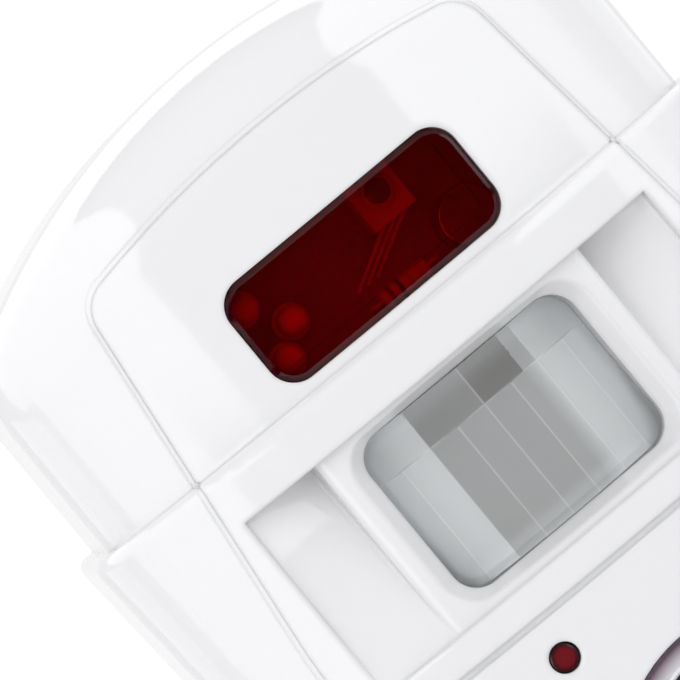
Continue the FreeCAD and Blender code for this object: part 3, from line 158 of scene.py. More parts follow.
# %% Define the solid finishes
def finish(name, code, rough, metal=0.0, ior=1.5, wave=(14, 0.004), grain=(0.3, 0.001), stretch=(1, 1, 1),
           edge=0.1, cloudy=0.04, marked=None, limits=None, soft=0.02, flatter=None):
    """Material of a solid part. wave and grain are a size and a depth in millimetres.

    marked is the colour, roughness and metal share that hold within the limits, and flatter is by how much
    each axis of the normal is kept where a front is flatter than its solid.
    """
    material, tree, where = start_material(name)
    drawn = add(tree, "ShaderNodeVectorMath", {0: where, 1: stretch}, operation="MULTIPLY")
    long_wave = add(tree, "ShaderNodeTexNoise", {"Vector": where, "Scale": 1 / (wave[0] * MM), "Detail": 0.0})
    fine = add(tree, "ShaderNodeTexNoise", {"Vector": drawn, "Scale": 1 / (grain[0] * MM), "Detail": 2.0})
    cloud = add(tree, "ShaderNodeTexNoise", {"Vector": where, "Scale": 0.5 / (wave[0] * MM), "Detail": 2.0})
    colour = add(tree, "ShaderNodeMix", {
        0: cloud, 6: linear(code), 7: linear(code, 1 - cloudy)}, data_type="RGBA").outputs[2]
    shine = add(tree, "ShaderNodeMapRange", {
        "Value": cloud, "From Min": 0.3, "From Max": 0.7, "To Min": rough * 0.85, "To Max": rough * 1.2})
    if marked:
        other_code, other_rough, other_metal = marked
        mask = within(tree, where, limits, soft)
        colour = add(tree, "ShaderNodeMix", {
            0: mask, 6: colour, 7: linear(other_code)}, data_type="RGBA").outputs[2]
        shine = add(tree, "ShaderNodeMix", {0: mask, 2: shine, 3: other_rough})
        metal = add(tree, "ShaderNodeMix", {0: mask, 2: metal, 3: other_metal})
    normal = add(tree, "ShaderNodeBevel", {"Radius": edge * MM}, samples=8)
    if flatter:
        narrow = add(tree, "ShaderNodeVectorMath", {0: normal, 1: flatter}, operation="MULTIPLY")
        normal = add(tree, "ShaderNodeVectorMath", {0: narrow}, operation="NORMALIZE")
    for height, depth in ((long_wave, wave[1]), (fine, grain[1])):
        if depth:
            normal = add(tree, "ShaderNodeBump", {"Height": height, "Distance": depth * MM, "Normal": normal})
    shader = add(tree, "ShaderNodeBsdfPrincipled", {
        "Base Color": colour, "Metallic": metal, "Roughness": shine, "IOR": ior, "Normal": normal})
    add(tree, "ShaderNodeOutputMaterial", {"Surface": shader})
    return material


# %% [markdown]
# ### Plastics
# The case and the cover are ABS moulded in a polished tool, so they show crisp but slightly wavy reflections.
# The back and the door come from a spark-eroded tool, which leaves a fine matt grain. All could share one
# white, but each tool leaves its own gloss, and that tells the pieces apart where they meet.

# %% Make the plastics
# Polished: a wet gloss whose reflections bend a little, and edges that catch a wide, soft line of light.
# Eroded: a grain that blurs every reflection. Plain: half matt. Black: dark greys, so that holes look deeper.
polished_abs = finish("polished_white_abs", "E2E2E4", 0.07, ior=1.54, grain=(0.3, 0.0), edge=0.9, cloudy=0.02)
eroded_abs = finish("eroded_white_abs", "E2E2E3", 0.34, ior=1.54, grain=(0.22, 0.012), edge=0.25)
plain_abs = finish("plain_white_abs", "DEDEDD", 0.35, ior=1.54, grain=(0.4, 0.002))
black_abs = finish("black_abs", "1B1B1D", 0.35, ior=1.54, grain=(0.22, 0.006))
grille_abs = finish("grille_black_abs", "2B2B30", 0.4, ior=1.54, grain=(0.22, 0.006), edge=0.08)
print("plastics", len(bpy.data.materials))

# %% [markdown]
# ### Metals
# Drawn, turned and rolled metal carries fine streaks along the direction in which it was made: the grain is
# stretched along that axis. An image of streaks could do the same, but stretched noise needs none and keeps
# its real size. Plated parts are smoother than bare ones. The siren's ring is satin chrome on ABS, paler and
# softer than bare steel, and towards its border a maroon shade is painted in, for the shadow and dark
# reflection at its outer edge.

# %% Make the metals
# Steel is streaked and cool, zinc a little duller, nickel smoother and warmer, solder bright with ripples.
# The sensor's can has a dark glossy filter in its front, within the limits given for it.
SIREN_AXIS = (0, 32.3)
sensor_steel = finish(
    "drawn_tinned_steel", "C6C6C8", 0.24, 1.0, grain=(0.15, 0.001), stretch=(1, 0.1, 1), edge=0.05,
    marked=("1D1A24", 0.12, 0.0), limits={"X": (-2.05, 2.05), "Y": (-13.0, -12.8), "Z": (71.15, 74.25)})
switch_steel = finish(
    "pressed_steel", "C2C3C6", 0.3, 1.0, grain=(0.15, 0.001), stretch=(1, 1, 0.1), edge=0.05)
zinc = finish("zinc_plated_steel", "C9CACD", 0.3, 1.0, grain=(0.12, 0.001), stretch=(1, 0.2, 1), edge=0.05)
nickel = finish(
    "nickel_plated_steel", "CFCDC6", 0.22, 1.0, grain=(0.15, 0.001), stretch=(1, 1, 0.15), edge=0.05)
solder_tin = finish("soldered_tin", "D3D3D1", 0.25, 1.0, grain=(0.3, 0.003), edge=0.05)
# Painted shade and reflection: the ring darkens to maroon towards its outer border.
chrome_and_painted_rim_shade = finish(
    "satin_chromed_abs", "F0F0F4", 0.3, 0.3, wave=(6, 0.001), grain=(0.3, 0.001), edge=0.2,
    marked=("522848", 0.3, 0.1), limits={"around": (*SIREN_AXIS, 13.2, 17.0)}, soft=2.0)
print("materials", len(bpy.data.materials))

# %% [markdown]
# ### Electronic parts
# Each part is one solid with two finishes: resin and legs, shield and eye, sleeve and can, brass and ceramic.
# They could be two solids each, but nobody takes such a part to pieces. The limits are where the CAD model
# has the step between them, except round the red lamp, whose darker rim is painted shade.

# %% Make the finishes of the electronic parts
# Resin looks wet, and the red lamp gets a painted shade towards its rim, where its dome meets its hole;
# shields and legs are dull tin, the eye is a black mirror, the capacitor's sleeve is blue black under a
# bright can, the chip is matt, and brass is the only yellow inside.
LAMP_AXIS = (-10.1, 53.5)
EYE_AXIS = (5.7, 100.2)
# Painted shade: the lamp's resin darkens towards its rim, where its dome meets its hole.
lamp_resin_and_painted_rim_shade = finish(
    "red_epoxy_lamp", "70181E", 0.12, ior=1.55, wave=(1.5, 0.001), grain=(0.3, 0.0), edge=0.05, cloudy=0.25,
    marked=("2E0810", 0.2, 0.0), limits={"around": (*LAMP_AXIS, 0.9, 2.2)}, soft=0.5, flatter=(0.15, 1, 0.15))
indicator_resin = finish(
    "tinned_legs_and_red_epoxy", "C6C6C4", 0.3, 0.5, wave=(1.5, 0.001), grain=(0.2, 0.001), edge=0.05,
    marked=("CC3C2E", 0.2, 0.0), limits={"Y": (-17.0, -10.19)})
receiver_shield = finish(
    "tinned_shield_and_dark_epoxy", "C0C0C0", 0.4, 0.3, wave=(2, 0.003), grain=(0.2, 0.002), edge=0.05,
    marked=("0E0B0D", 0.15, 0.0), limits={"Y": (-17.0, -13.51), "around": (*EYE_AXIS, -1.4, 1.4)}, soft=0.15)
capacitor_sleeve = finish(
    "aluminium_and_black_sleeve", "C9C9CB", 0.3, 1.0, wave=(3, 0.004), grain=(0.2, 0.002),
    marked=("1E1F26", 0.3, 0.0), limits={"Y": (-15.17, -8.0)})
chip_epoxy = finish(
    "tinned_legs_and_black_epoxy", "C8C8C8", 0.3, 1.0, grain=(0.15, 0.004), edge=0.05,
    marked=("232325", 0.5, 0.0), limits={"X": (-3.81, 3.81)})
inlet_abs = finish(
    "black_nylon_and_nickel_pin", "1B1B1D", 0.38, grain=(0.22, 0.006),
    marked=("CFCDC6", 0.25, 1.0), limits={"X": (27.0, 38.0), "Y": (-3.92, -1.88), "Z": (54.58, 56.62)})
sounder_brass = finish(
    "rolled_brass_and_ceramic", "C9A35A", 0.28, 1.0, grain=(0.15, 0.001), stretch=(0.15, 1, 1), edge=0.05,
    marked=("D9D6CC", 0.55, 0.0), limits={"around": (*SIREN_AXIS, -9.0, 9.0)})
print("materials", len(bpy.data.materials))

# %% [markdown]
# ### Battery jackets
# A cell is a steel can in a shrunk plastic sleeve: a dark glossy tube between bright ends. The cells stand in
# turn up and down, so the nub is at the top of one and at the foot of the next. The sleeve's limits are
# worked out from each cell's box, which leaves the cells themselves as they are.


# %% Make the battery jackets
NUB_HEIGHT, BARE_END = 1.2, 0.5


def cell_jacket(number):
    """Plain sleeve between bare steel ends; an odd cell has its nub at the top."""
    low, high = (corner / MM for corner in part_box("battery_cell_%d" % number))
    foot = low.z + (0 if number % 2 else NUB_HEIGHT)
    top = high.z - (NUB_HEIGHT if number % 2 else 0)
    return finish(
        "steel_and_sleeve_%d" % number, "C4C4C6", 0.25, 1.0, wave=(20, 0.004), grain=(0.3, 0.001), edge=0.2,
        marked=("33363E", 0.28, 0.0), limits={"Z": (foot + BARE_END, top - BARE_END)})


cell_jackets = {number: cell_jacket(number) for number in range(1, 5)}
print("materials", len(bpy.data.materials))

# %% [markdown]
# ## Red window
# The window is clear acrylic dyed a deep red, with a polished front. Seen from outside, light has gone in and
# come out again, so what lies behind shows in a dark saturated red. The dye is applied where the camera looks
# in, and light on its way in passes undyed, because a few samples can't carry enough light through the dye
# twice. It could be refracting glass, but a thin sheet hardly bends what is behind it, and glass is noisy.


# %% Mix the dye and the haze
CLEAR_SHARE = 0.94


def dyed_sheet(tree, where):
    """Shader of the sheet itself: nearly clear, with a little red haze in it."""
    seen = add(tree, "ShaderNodeLightPath").outputs["Is Camera Ray"]
    dye = add(tree, "ShaderNodeMix", {0: seen, 6: (1, 1, 1, 1), 7: linear("D8061A")}, data_type="RGBA")
    cloud = add(tree, "ShaderNodeTexNoise", {"Vector": where, "Scale": 1 / (5 * MM), "Detail": 2.0})
    scattered = add(tree, "ShaderNodeMix", {
        0: cloud, 6: linear("B00A12"), 7: linear("6C0508")}, data_type="RGBA")
    haze = add(tree, "ShaderNodeBsdfDiffuse", {"Color": scattered.outputs[2]})
    clear = add(tree, "ShaderNodeBsdfTransparent", {"Color": dye.outputs[2]})
    return add(tree, "ShaderNodeMixShader", {0: CLEAR_SHARE, 1: haze, 2: clear})


print("share that passes", CLEAR_SHARE)

# %% [markdown]
# ### Front of the window
# The front is moulded flatter than the case's bow, so its reflection is even, and the slanted border is given
# a painted dark purple shade and a painted darker reflection. Both follow from the surface's own direction:
# how far it turns away from the front tells where the border's shade is painted, and a normal that is
# narrowed sideways gives the flat reflection.


# %% Make the dyed acrylic
BORDER_SLOPE, FRONT_SLOPE = 0.4, 0.72


def dyed_acrylic():
    """Window material: a dark saturated red with a painted shade and a painted darker reflection on its
    slanted rim, under one even reflection.
    """
    material, tree, where = start_material("dyed_red_acrylic")
    surface = add(tree, "ShaderNodeNewGeometry").outputs
    facing = surface["Normal"]
    slope = add(tree, "ShaderNodeSeparateXYZ", {0: facing})
    front = add(tree, "ShaderNodeMath", {0: slope.outputs["Y"]}, operation="ABSOLUTE")
    outside = add(tree, "ShaderNodeMath", {0: 1.0, 1: surface["Backfacing"]}, operation="SUBTRACT")
    slanted = add(tree, "ShaderNodeMapRange", {
        "Value": front, "From Min": BORDER_SLOPE, "From Max": FRONT_SLOPE, "To Min": 0.85, "To Max": 0.0})
    painted_border_shade = add(tree, "ShaderNodeMath", {0: slanted, 1: outside}, operation="MULTIPLY")
    # Painted shade: the slanted border is coloured dark purple.
    rim = add(tree, "ShaderNodeBsdfDiffuse", {"Color": linear("3E0A22")})
    body = add(tree, "ShaderNodeMixShader", {0: painted_border_shade, 1: dyed_sheet(tree, where), 2: rim})
    narrow = add(tree, "ShaderNodeVectorMath", {0: facing, 1: (0.2, 1, 1)}, operation="MULTIPLY")
    flat = add(tree, "ShaderNodeVectorMath", {0: narrow}, operation="NORMALIZE")
    wave = add(tree, "ShaderNodeTexNoise", {"Vector": where, "Scale": 1 / (5 * MM), "Detail": 0.0})
    normal = add(tree, "ShaderNodeBump", {"Height": wave, "Distance": 0.004 * MM, "Normal": flat})
    fresnel = add(tree, "ShaderNodeFresnel", {"IOR": 1.49, "Normal": normal})
    # Painted reflection: the gloss on the border is darkened to purple.
    mirrored = add(tree, "ShaderNodeMix", {
        0: painted_border_shade, 6: (1, 1, 1, 1), 7: linear("3A1428")}, data_type="RGBA").outputs[2]
    gloss = add(tree, "ShaderNodeBsdfGlossy", {"Color": mirrored, "Roughness": 0.05, "Normal": normal})
    veil = add(tree, "ShaderNodeMath", {0: fresnel, 1: outside}, operation="MULTIPLY")
    whole = add(tree, "ShaderNodeMixShader", {0: veil, 1: body, 2: gloss})
    add(tree, "ShaderNodeOutputMaterial", {"Surface": whole})
    return material


window_acrylic = dyed_acrylic()
print("window ready")

# %% [markdown]
# ## Lens material
# The lens is thin milky polyethylene, which lets heat rays through and scatters light. Each facet has a focus
# of its own, and its colour carries painted light and shade: the ones that look at the sensor in the frame's
# shaded slot are painted darker than the ones that look at the lit white frame. The mesh brings this along as
# an attribute called light. The seams between facets are thin welds with a painted highlight and a small
# bump, and their places follow from the facets' width. It could be a scattering volume, but in so thin a
# sheet a mix of a soft surface and a clear one looks the same.

# %% Find the seams of the facets
FACET, ROW_LEVEL = 3.43, 77.4


def facet_seams(tree, where):
    """1 on the seams: every facet's width in the lower row, every second one above, and between the rows."""
    axes = add(tree, "ShaderNodeSeparateXYZ", {0: where})
    lower = add(tree, "ShaderNodeMath", {0: axes.outputs["X"], 1: FACET / 2 * MM}, operation="PINGPONG")
    upper = add(tree, "ShaderNodeMath", {0: axes.outputs["X"], 1: FACET * MM}, operation="PINGPONG")
    above = add(tree, "ShaderNodeMath", {0: axes.outputs["Z"], 1: ROW_LEVEL * MM}, operation="GREATER_THAN")
    aside = add(tree, "ShaderNodeMix", {0: above, 2: lower, 3: upper})
    rise = add(tree, "ShaderNodeMath", {0: axes.outputs["Z"], 1: ROW_LEVEL * MM}, operation="SUBTRACT")
    level = add(tree, "ShaderNodeMath", {0: rise}, operation="ABSOLUTE")
    near = add(tree, "ShaderNodeMath", {0: aside, 1: level}, operation="MINIMUM")
    return add(tree, "ShaderNodeMapRange", {
        "Value": near, "From Min": 0.02 * MM, "From Max": 0.16 * MM, "To Min": 1.0, "To Max": 0.0},
        interpolation_type="SMOOTHSTEP")


print("facet width", FACET, "mm")


# %% Make the milky polyethylene
LIT_CLEAR, SEEN_CLEAR = 0.85, 0.25


def milky_polyethylene():
    """Lens material: painted light and shade in soft greys and whites by facet, painted highlights on the
    seams, and a little of the sensor showing through.
    """
    material, tree, where = start_material("milky_polyethylene")
    seam = facet_seams(tree, where)
    light = add(tree, "ShaderNodeAttribute", attribute_name="light").outputs["Fac"]
    # Painted light and shade: darker grey where a facet looks into the shaded slot, paler where it looks at
    # the lit frame.
    painted_facet_shade = add(tree, "ShaderNodeMix", {0: light, 6: linear("777776"), 7: linear("CDD1D3")}, data_type="RGBA")
    # Painted highlight: the seams are mixed a little towards white.
    seam_highlight = add(tree, "ShaderNodeMath", {0: seam, 1: 0.17}, operation="MULTIPLY")
    colour = add(tree, "ShaderNodeMix", {0: seam_highlight, 6: painted_facet_shade.outputs[2], 7: linear("F4F4F4")}, data_type="RGBA")
    shine = add(tree, "ShaderNodeTexNoise", {"Vector": where, "Scale": 1 / (3 * MM), "Detail": 1.0})
    rough = add(tree, "ShaderNodeMapRange", {"Value": shine, "To Min": 0.26, "To Max": 0.34})
    normal = add(tree, "ShaderNodeBump", {"Height": seam, "Distance": 0.01 * MM})
    solid = add(tree, "ShaderNodeBsdfPrincipled", {
        "Base Color": colour.outputs[2], "Roughness": rough, "IOR": 1.52, "Normal": normal})
    clear = add(tree, "ShaderNodeBsdfTransparent", {"Color": linear("FBFBFB")})
    seen = add(tree, "ShaderNodeLightPath").outputs["Is Camera Ray"]
    share = add(tree, "ShaderNodeMix", {0: seen, 2: LIT_CLEAR, 3: SEEN_CLEAR})
    whole = add(tree, "ShaderNodeMixShader", {0: share, 1: solid, 2: clear})
    add(tree, "ShaderNodeOutputMaterial", {"Surface": whole})
    return material


lens_milk = milky_polyethylene()
print("lens material ready")

# %% [markdown]
# ## Board and resistors
# The board is brown phenolic paper. Its parts side shows the bare brown laminate, and its solder side carries
# copper tracks under green lacquer. It could carry an image of a real layout, but behind the window and the
# lens only the brown is seen, so noise and a brick pattern are enough. A resistor's value is painted as bands
# round a lacquered body, which a colour ramp along X draws on all four at once.


# %% Make the board finish
BOARD_FRONT = -9.0


def phenolic_board():
    """Dull brown sheet with short fibres in front, dark green tracks behind."""
    material, tree, where = start_material("phenolic_board")
    fibre = add(tree, "ShaderNodeTexNoise", {"Vector": where, "Scale": 1 / (0.8 * MM), "Detail": 3.0})
    brown = add(tree, "ShaderNodeMix", {0: fibre, 6: linear("8A6641"), 7: linear("64492E")}, data_type="RGBA")
    tracks = add(tree, "ShaderNodeTexBrick", {
        "Vector": where, "Scale": 180.0, "Mortar Size": 0.03, "Color1": linear("17572F"),
        "Color2": linear("1B6236"), "Mortar": linear("0E3D20")})
    front = within(tree, where, {"Y": (BOARD_FRONT - 0.1, BOARD_FRONT + 0.1)})
    colour = add(tree, "ShaderNodeMix", {0: front, 6: tracks, 7: brown.outputs[2]}, data_type="RGBA")
    shine = add(tree, "ShaderNodeMapRange", {"Value": fibre, "To Min": 0.25, "To Max": 0.5})
    relief = add(tree, "ShaderNodeBump", {"Height": tracks.outputs[1], "Distance": 0.02 * MM})
    normal = add(tree, "ShaderNodeBump", {"Height": fibre, "Distance": 0.004 * MM, "Normal": relief})
    shader = add(tree, "ShaderNodeBsdfPrincipled", {
        "Base Color": colour.outputs[2], "Roughness": shine, "IOR": 1.55, "Normal": normal})
    add(tree, "ShaderNodeOutputMaterial", {"Surface": shader})
    return material


board_laminate = phenolic_board()
print("materials", len(bpy.data.materials))


# %% Make the resistor finish
def banded_lacquer():
    """Sand-coloured lacquer with painted bands, between two bright wires."""
    material, tree, where = start_material("banded_lacquer")
    start, end = (corner.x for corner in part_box("board_resistors"))
    along = add(tree, "ShaderNodeSeparateXYZ", {0: where}).outputs["X"]
    place = add(tree, "ShaderNodeMapRange", {"Value": along, "From Min": start, "From Max": end})
    ramp = add(tree, "ShaderNodeValToRGB", {0: place})
    ramp.color_ramp.interpolation = "CONSTANT"
    wire, body = "B9BABD", "C9A878"
    stops = ((0.0, wire), (0.17, body), (0.26, "6B3B1E"), (0.32, body), (0.4, "232323"), (0.46, body),
             (0.54, "B02A20"), (0.6, body), (0.7, "B99A3C"), (0.76, body), (0.83, wire))
    elements = ramp.color_ramp.elements
    for element, (position, code) in zip(elements, stops):
        element.position, element.color = position, linear(code)
    for position, code in stops[2:]:
        elements.new(position).color = linear(code)
    ripple = add(tree, "ShaderNodeTexNoise", {"Vector": where, "Scale": 1 / (0.6 * MM), "Detail": 2.0})
    shine = add(tree, "ShaderNodeMapRange", {"Value": ripple, "To Min": 0.2, "To Max": 0.4})
    normal = add(tree, "ShaderNodeBump", {"Height": ripple, "Distance": 0.01 * MM})
    shader = add(tree, "ShaderNodeBsdfPrincipled", {"Base Color": ramp, "Roughness": shine, "Normal": normal})
    add(tree, "ShaderNodeOutputMaterial", {"Surface": shader})
    return material


resistor_lacquer = banded_lacquer()
print("materials", len(bpy.data.materials))

# %% [markdown]
# ## Dress the CAD nodes
# CAD nodes whose shape is right stay as they are and only get their finish. Copies with finer meshes could
# replace them, but CAD has their exact shapes and rounds already, so each only needs a material in its slot.

# %% Give every node its finish
FINISHES = {
    "front_cover": polished_abs,
    "case_shell": polished_abs,
    "signal_window": window_acrylic,
    "lens_retainer": plain_abs,
    "status_led": lamp_resin_and_painted_rim_shade,
    "indicator_leds": indicator_resin,
    "main_board": board_laminate,
    "pir_sensor": sensor_steel,
    "infrared_receiver": receiver_shield,
    "storage_capacitor": capacitor_sleeve,
    "control_chip": chip_epoxy,
    "board_resistors": resistor_lacquer,
    "power_switch": switch_steel,
    "switch_knob": black_abs,
    "dc_jack": inlet_abs,
    "siren_ring": chrome_and_painted_rim_shade,
    "siren_grille": grille_abs,
    "siren_case": plain_abs,
    "piezo_disc": sounder_brass,
    "back_cover": eroded_abs,
    "battery_door": eroded_abs,
    "plate_contacts": nickel,
    "spring_contacts": nickel,
    "case_screws": zinc,
    "board_screws": zinc,
    "siren_screws": zinc,
}
for number, jacket in cell_jackets.items():
    FINISHES["battery_cell_%d" % number] = jacket
for node_name, material in FINISHES.items():
    for material_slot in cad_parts[node_name].material_slots:
        material_slot.material = material
print("dressed", len(FINISHES))

# %% [markdown]
# ## Pieces
# Every added piece is an object at the origin whose mesh holds its place. It rides on a body of the CAD
# frame, so it moves with it, and takes the finish that it is given.


# %% Define how a piece is made
def piece(name, mesh, material, smooth=False):
    """Object for a finished mesh that rides on the case."""
    mesh.materials.clear()
    mesh.materials.append(material)
    if smooth:
        mesh.shade_smooth()
    else:
        mesh.shade_flat()
    made = bpy.data.objects.new(name, mesh)
    bpy.context.collection.objects.link(made)
    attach(made, "case")
    return made


def bridge(shell, loops, closed=False):
    """Join rings of as many vertices each by quads."""
    for loop, following in zip(loops, loops[1:] + loops[:1] if closed else loops[1:]):
        for number in range(len(loop)):
            after = (number + 1) % len(loop)
            shell.faces.new((loop[number], loop[after], following[after], following[number]))


def to_mesh(name, shell):
    """Mesh with its faces turned outwards."""
    bmesh.ops.recalc_face_normals(shell, faces=shell.faces)
    mesh = bpy.data.meshes.new(name)
    shell.to_mesh(mesh)
    shell.free()
    return mesh


# %% [markdown]
# ## Lens
# The lens has two rows of flat facets on a bowed front: eight below and four above. On its inner side each
# facet carries rings of fine sawtooth grooves round its own middle, which is what makes it a Fresnel lens.
# It could be a bowed sheet with a bump, but flat facets and real grooves catch the light as the real ones do,
# so both sides are grids whose depth is worked out point by point. Skirt and flange follow the same edge.

# %% Work out the depth of the lens
LENS_LOW, LENS_HIGH = (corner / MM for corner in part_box("fresnel_lens"))
LENS_HALF, LENS_CORNER, LENS_WALL = 13.05, 2.9, 0.8
LENS_FOOT, LENS_TOP = 63.45, 81.95
LENS_APEX, LENS_RADIUS = -18.9, 24.0
LENS_MIDDLE = (LENS_FOOT + LENS_TOP) / 2
FLANGE_FRONT = LENS_HIGH.y - 1.0
GROOVE_PITCH, GROOVE_DEPTH = 0.5, 0.05
LOWER_SEAMS = [-LENS_HALF] + [FACET * step for step in range(-3, 4)] + [LENS_HALF]
UPPER_SEAMS = [-LENS_HALF, -2 * FACET, 0.0, 2 * FACET, LENS_HALF]


def arc_depth(x):
    """Depth of the bow that the facets' edges lie on."""
    return LENS_APEX + LENS_RADIUS - math.sqrt(LENS_RADIUS ** 2 - x ** 2)


def facet_at(x, z):
    """Row, number and limits of the facet at a place."""
    row, seams = (0, LOWER_SEAMS) if z < ROW_LEVEL else (1, UPPER_SEAMS)
    number = next((n for n, high in enumerate(seams[1:-1]) if x <= high), len(seams) - 2)
    return row, number, seams[number], seams[number + 1]


def front_depth(x, z):
    """Depth of the flat facet at a place."""
    low, high = facet_at(x, z)[2:]
    share = (x - low) / (high - low)
    return arc_depth(low) * (1 - share) + arc_depth(high) * share


def back_depth(x, z):
    """Depth of the grooved inner side: sawtooth rings round the middle of each facet."""
    row, number, low, high = facet_at(x, z)
    level = (LENS_FOOT + ROW_LEVEL) / 2 if row == 0 else (ROW_LEVEL + LENS_TOP) / 2
    reach = math.hypot(x - (low + high) / 2, z - level)
    return front_depth(x, z) + LENS_WALL - GROOVE_DEPTH * (reach / GROOVE_PITCH % 1.0)


def half_width(z, inset):
    """Half of the lens's width at a height, less in its rounded corners."""
    corner = LENS_CORNER - inset
    over = max(LENS_FOOT + inset + corner - z, z - (LENS_TOP - inset - corner), 0.0)
    return LENS_HALF - inset - corner + math.sqrt(max(corner ** 2 - over ** 2, 0.0))


print("facets", len(LOWER_SEAMS) - 1, "and", len(UPPER_SEAMS) - 1)

# %% [markdown]
# ### What each facet shows, in painted light and shade
# The outer facets show the white frame and the inner ones the sensor in the slot, so each facet gets one
# value of painted light and shade, from left to right: painted light where the lit frame shows through,
# painted shade where the dark slot does, and the upper row painted darker still by the shade under the brow.
# It could be left to a refracting material, but milk scatters too much for that and a few samples stay noisy.
# The slot's right edge blurs across the lower row, and makes a paler block in the upper one. Towards its
# skirt the lens is painted paler, a painted highlight on its rounded border.

# %% Set the painted light and shade of each facet
# Painted light and shade per facet: low where the shaded slot shows through, high where the lit frame does;
# the upper row is lower still under the brow's shade.
LOWER_PAINTED_LIGHT = (0.82, 0.76, 0.33, 0.36, 0.35, 0.36, 0.76, 0.84)
UPPER_PAINTED_LIGHT = (0.7, 0.16, 0.0, 0.7)
BLUR_START, BLUR_END = 5.0, 7.2
BLOCK_START, BLOCK_PAINTED_LIGHT = 5.2, 0.4
RIM_WIDTH, RIM_PAINTED_LIGHT = 3.0, 0.4


def painted_lightness(x, z):
    """Painted light and shade of the lens at a place, from 0 to about 1."""
    row, number = facet_at(x, z)[:2]
    light = LOWER_PAINTED_LIGHT[number] if row == 0 else UPPER_PAINTED_LIGHT[number]
    if row == 0 and BLUR_START < x < BLUR_END:
        share = (x - BLUR_START) / (BLUR_END - BLUR_START)
        light = LOWER_PAINTED_LIGHT[5] + (LOWER_PAINTED_LIGHT[6] - LOWER_PAINTED_LIGHT[5]) * share
    if row == 1 and BLOCK_START < x < 2 * FACET:
        light = BLOCK_PAINTED_LIGHT
    # Painted highlight: the lens is lifted towards white near its edge.
    rim = min(half_width(z, 0.0) - abs(x), z - LENS_FOOT, LENS_TOP - z)
    return light + RIM_PAINTED_LIGHT * max(0.0, 1 - rim / RIM_WIDTH) ** 2


print("lightness in the middle", round(painted_lightness(0.0, LENS_MIDDLE), 2))


# %% Define how the lens is modelled
def lens_side(shell, depth, inset, columns=210, rows=148):
    """Grid of quads over the lens's outline; returns the vertices round its edge."""
    grid = []
    for row in range(rows + 1):
        z = LENS_FOOT + inset + (LENS_TOP - LENS_FOOT - 2 * inset) * row / rows
        half = half_width(z, inset)
        places = [half * (2 * column / columns - 1) for column in range(columns + 1)]
        grid.append([shell.verts.new(Vector((x, depth(x, z), z)) * MM) for x in places])
    for low, high in zip(grid, grid[1:]):
        for column in range(columns):
            shell.faces.new((low[column], low[column + 1], high[column + 1], high[column]))
    return grid[0] + [line[-1] for line in grid[1:]] + grid[-1][-2::-1] + [line[0] for line in grid[-2:0:-1]]


def at_depth(shell, loop, y, spread=False):
    """Copy of a ring of vertices at one depth, spread out to the flange's rectangle if asked for."""
    half, rise = LENS_HIGH.x, (LENS_HIGH.z - LENS_LOW.z) / 2
    copies = []
    for vertex in loop:
        x, z = vertex.co.x / MM, vertex.co.z / MM - LENS_MIDDLE
        scale = 1 / max(abs(x) / half, abs(z) / rise) if spread else 1.0
        copies.append(shell.verts.new(Vector((x * scale, y, LENS_MIDDLE + z * scale)) * MM))
    return copies


def lens_shell():
    """Mesh of the lens: its front, the skirt, the flange and the grooved side behind, as one closed shell."""
    shell = bmesh.new()
    front = lens_side(shell, front_depth, 0.0)
    behind = lens_side(shell, back_depth, LENS_WALL)
    loops = [
        front, at_depth(shell, front, FLANGE_FRONT), at_depth(shell, front, FLANGE_FRONT, True),
        at_depth(shell, front, LENS_HIGH.y, True), at_depth(shell, behind, LENS_HIGH.y), behind]
    bridge(shell, loops)
    return to_mesh("faceted_lens", shell)


print("flange from", round(FLANGE_FRONT, 2), "to", round(LENS_HIGH.y, 2), "mm")

# %% Model the faceted lens
lens_mesh = lens_shell()
# The painted light and shade goes into the mesh as the attribute light.
painted_light_values = [painted_lightness(vertex.co.x / MM, vertex.co.z / MM) for vertex in lens_mesh.vertices]
lens_mesh.attributes.new("light", "FLOAT", "POINT").data.foreach_set("value", painted_light_values)
lens = piece("faceted_lens", lens_mesh, lens_milk)
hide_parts("fresnel_lens")
print("lens faces", len(lens_mesh.polygons))

# %% [markdown]
# ## Seam of the cover
# On the real alarm a small ledge of the case lies right behind the cover's edge, so the seam is a soft
# shallow line and not a deep gap. The strip that closes it is a ramp from just under the cover's edge down to
# the case. It could be swept along a drawn outline, but it has to follow both edges of the gap. So it finds
# them by looking along Y from outside in: where the cover begins, and where the case begins beyond it.


# %% Find both edges of the seam
COVER_FLANGE = -14.0
START_REACH, CLOSENESS, OUTWARD_STEP = 70.0, 0.005, 0.01
COVER_LAP, CASE_LAP = 0.15, 0.5


def looking_in(node):
    """Search tree over the faces of a CAD node."""
    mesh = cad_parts[node].data
    return BVHTree.FromPolygons([v.co[:] for v in mesh.vertices], [p.vertices[:] for p in mesh.polygons])


def first_hit(tree, x, z):
    """Depth in millimetres at which a ray along Y meets the surface in front, if it does."""
    place = tree.ray_cast(Vector((x, -100, z)) * MM, Vector((0, 1, 0)))[0]
    return None if place is None or place.y > 0 else place.y / MM


def seam_sections(middle=62.0, count=720):
    """Inner place, outer place and depth of the ledge, in steps round the cover."""
    cover, shell = looking_in("front_cover"), looking_in("case_shell")
    sections = []
    for step in range(count):
        angle = 2 * math.pi * step / count

        def place(reach):
            return math.cos(angle) * reach, middle + math.sin(angle) * reach

        def covered(reach):
            depth = first_hit(cover, *place(reach))
            return depth is not None and depth < COVER_FLANGE

        far = START_REACH
        while not covered(far - 1):
            far -= 1
        near = far - 1
        while far - near > CLOSENESS:
            half = (near + far) / 2
            near, far = (half, far) if covered(half) else (near, half)
        outside = near
        while first_hit(shell, *place(outside)) is None and outside < near + 1:
            outside += OUTWARD_STEP
        inner, outer = place(near - COVER_LAP), place(outside + CASE_LAP)
        sections.append((inner, first_hit(cover, *inner), outer, first_hit(shell, *outer)))
    return sections


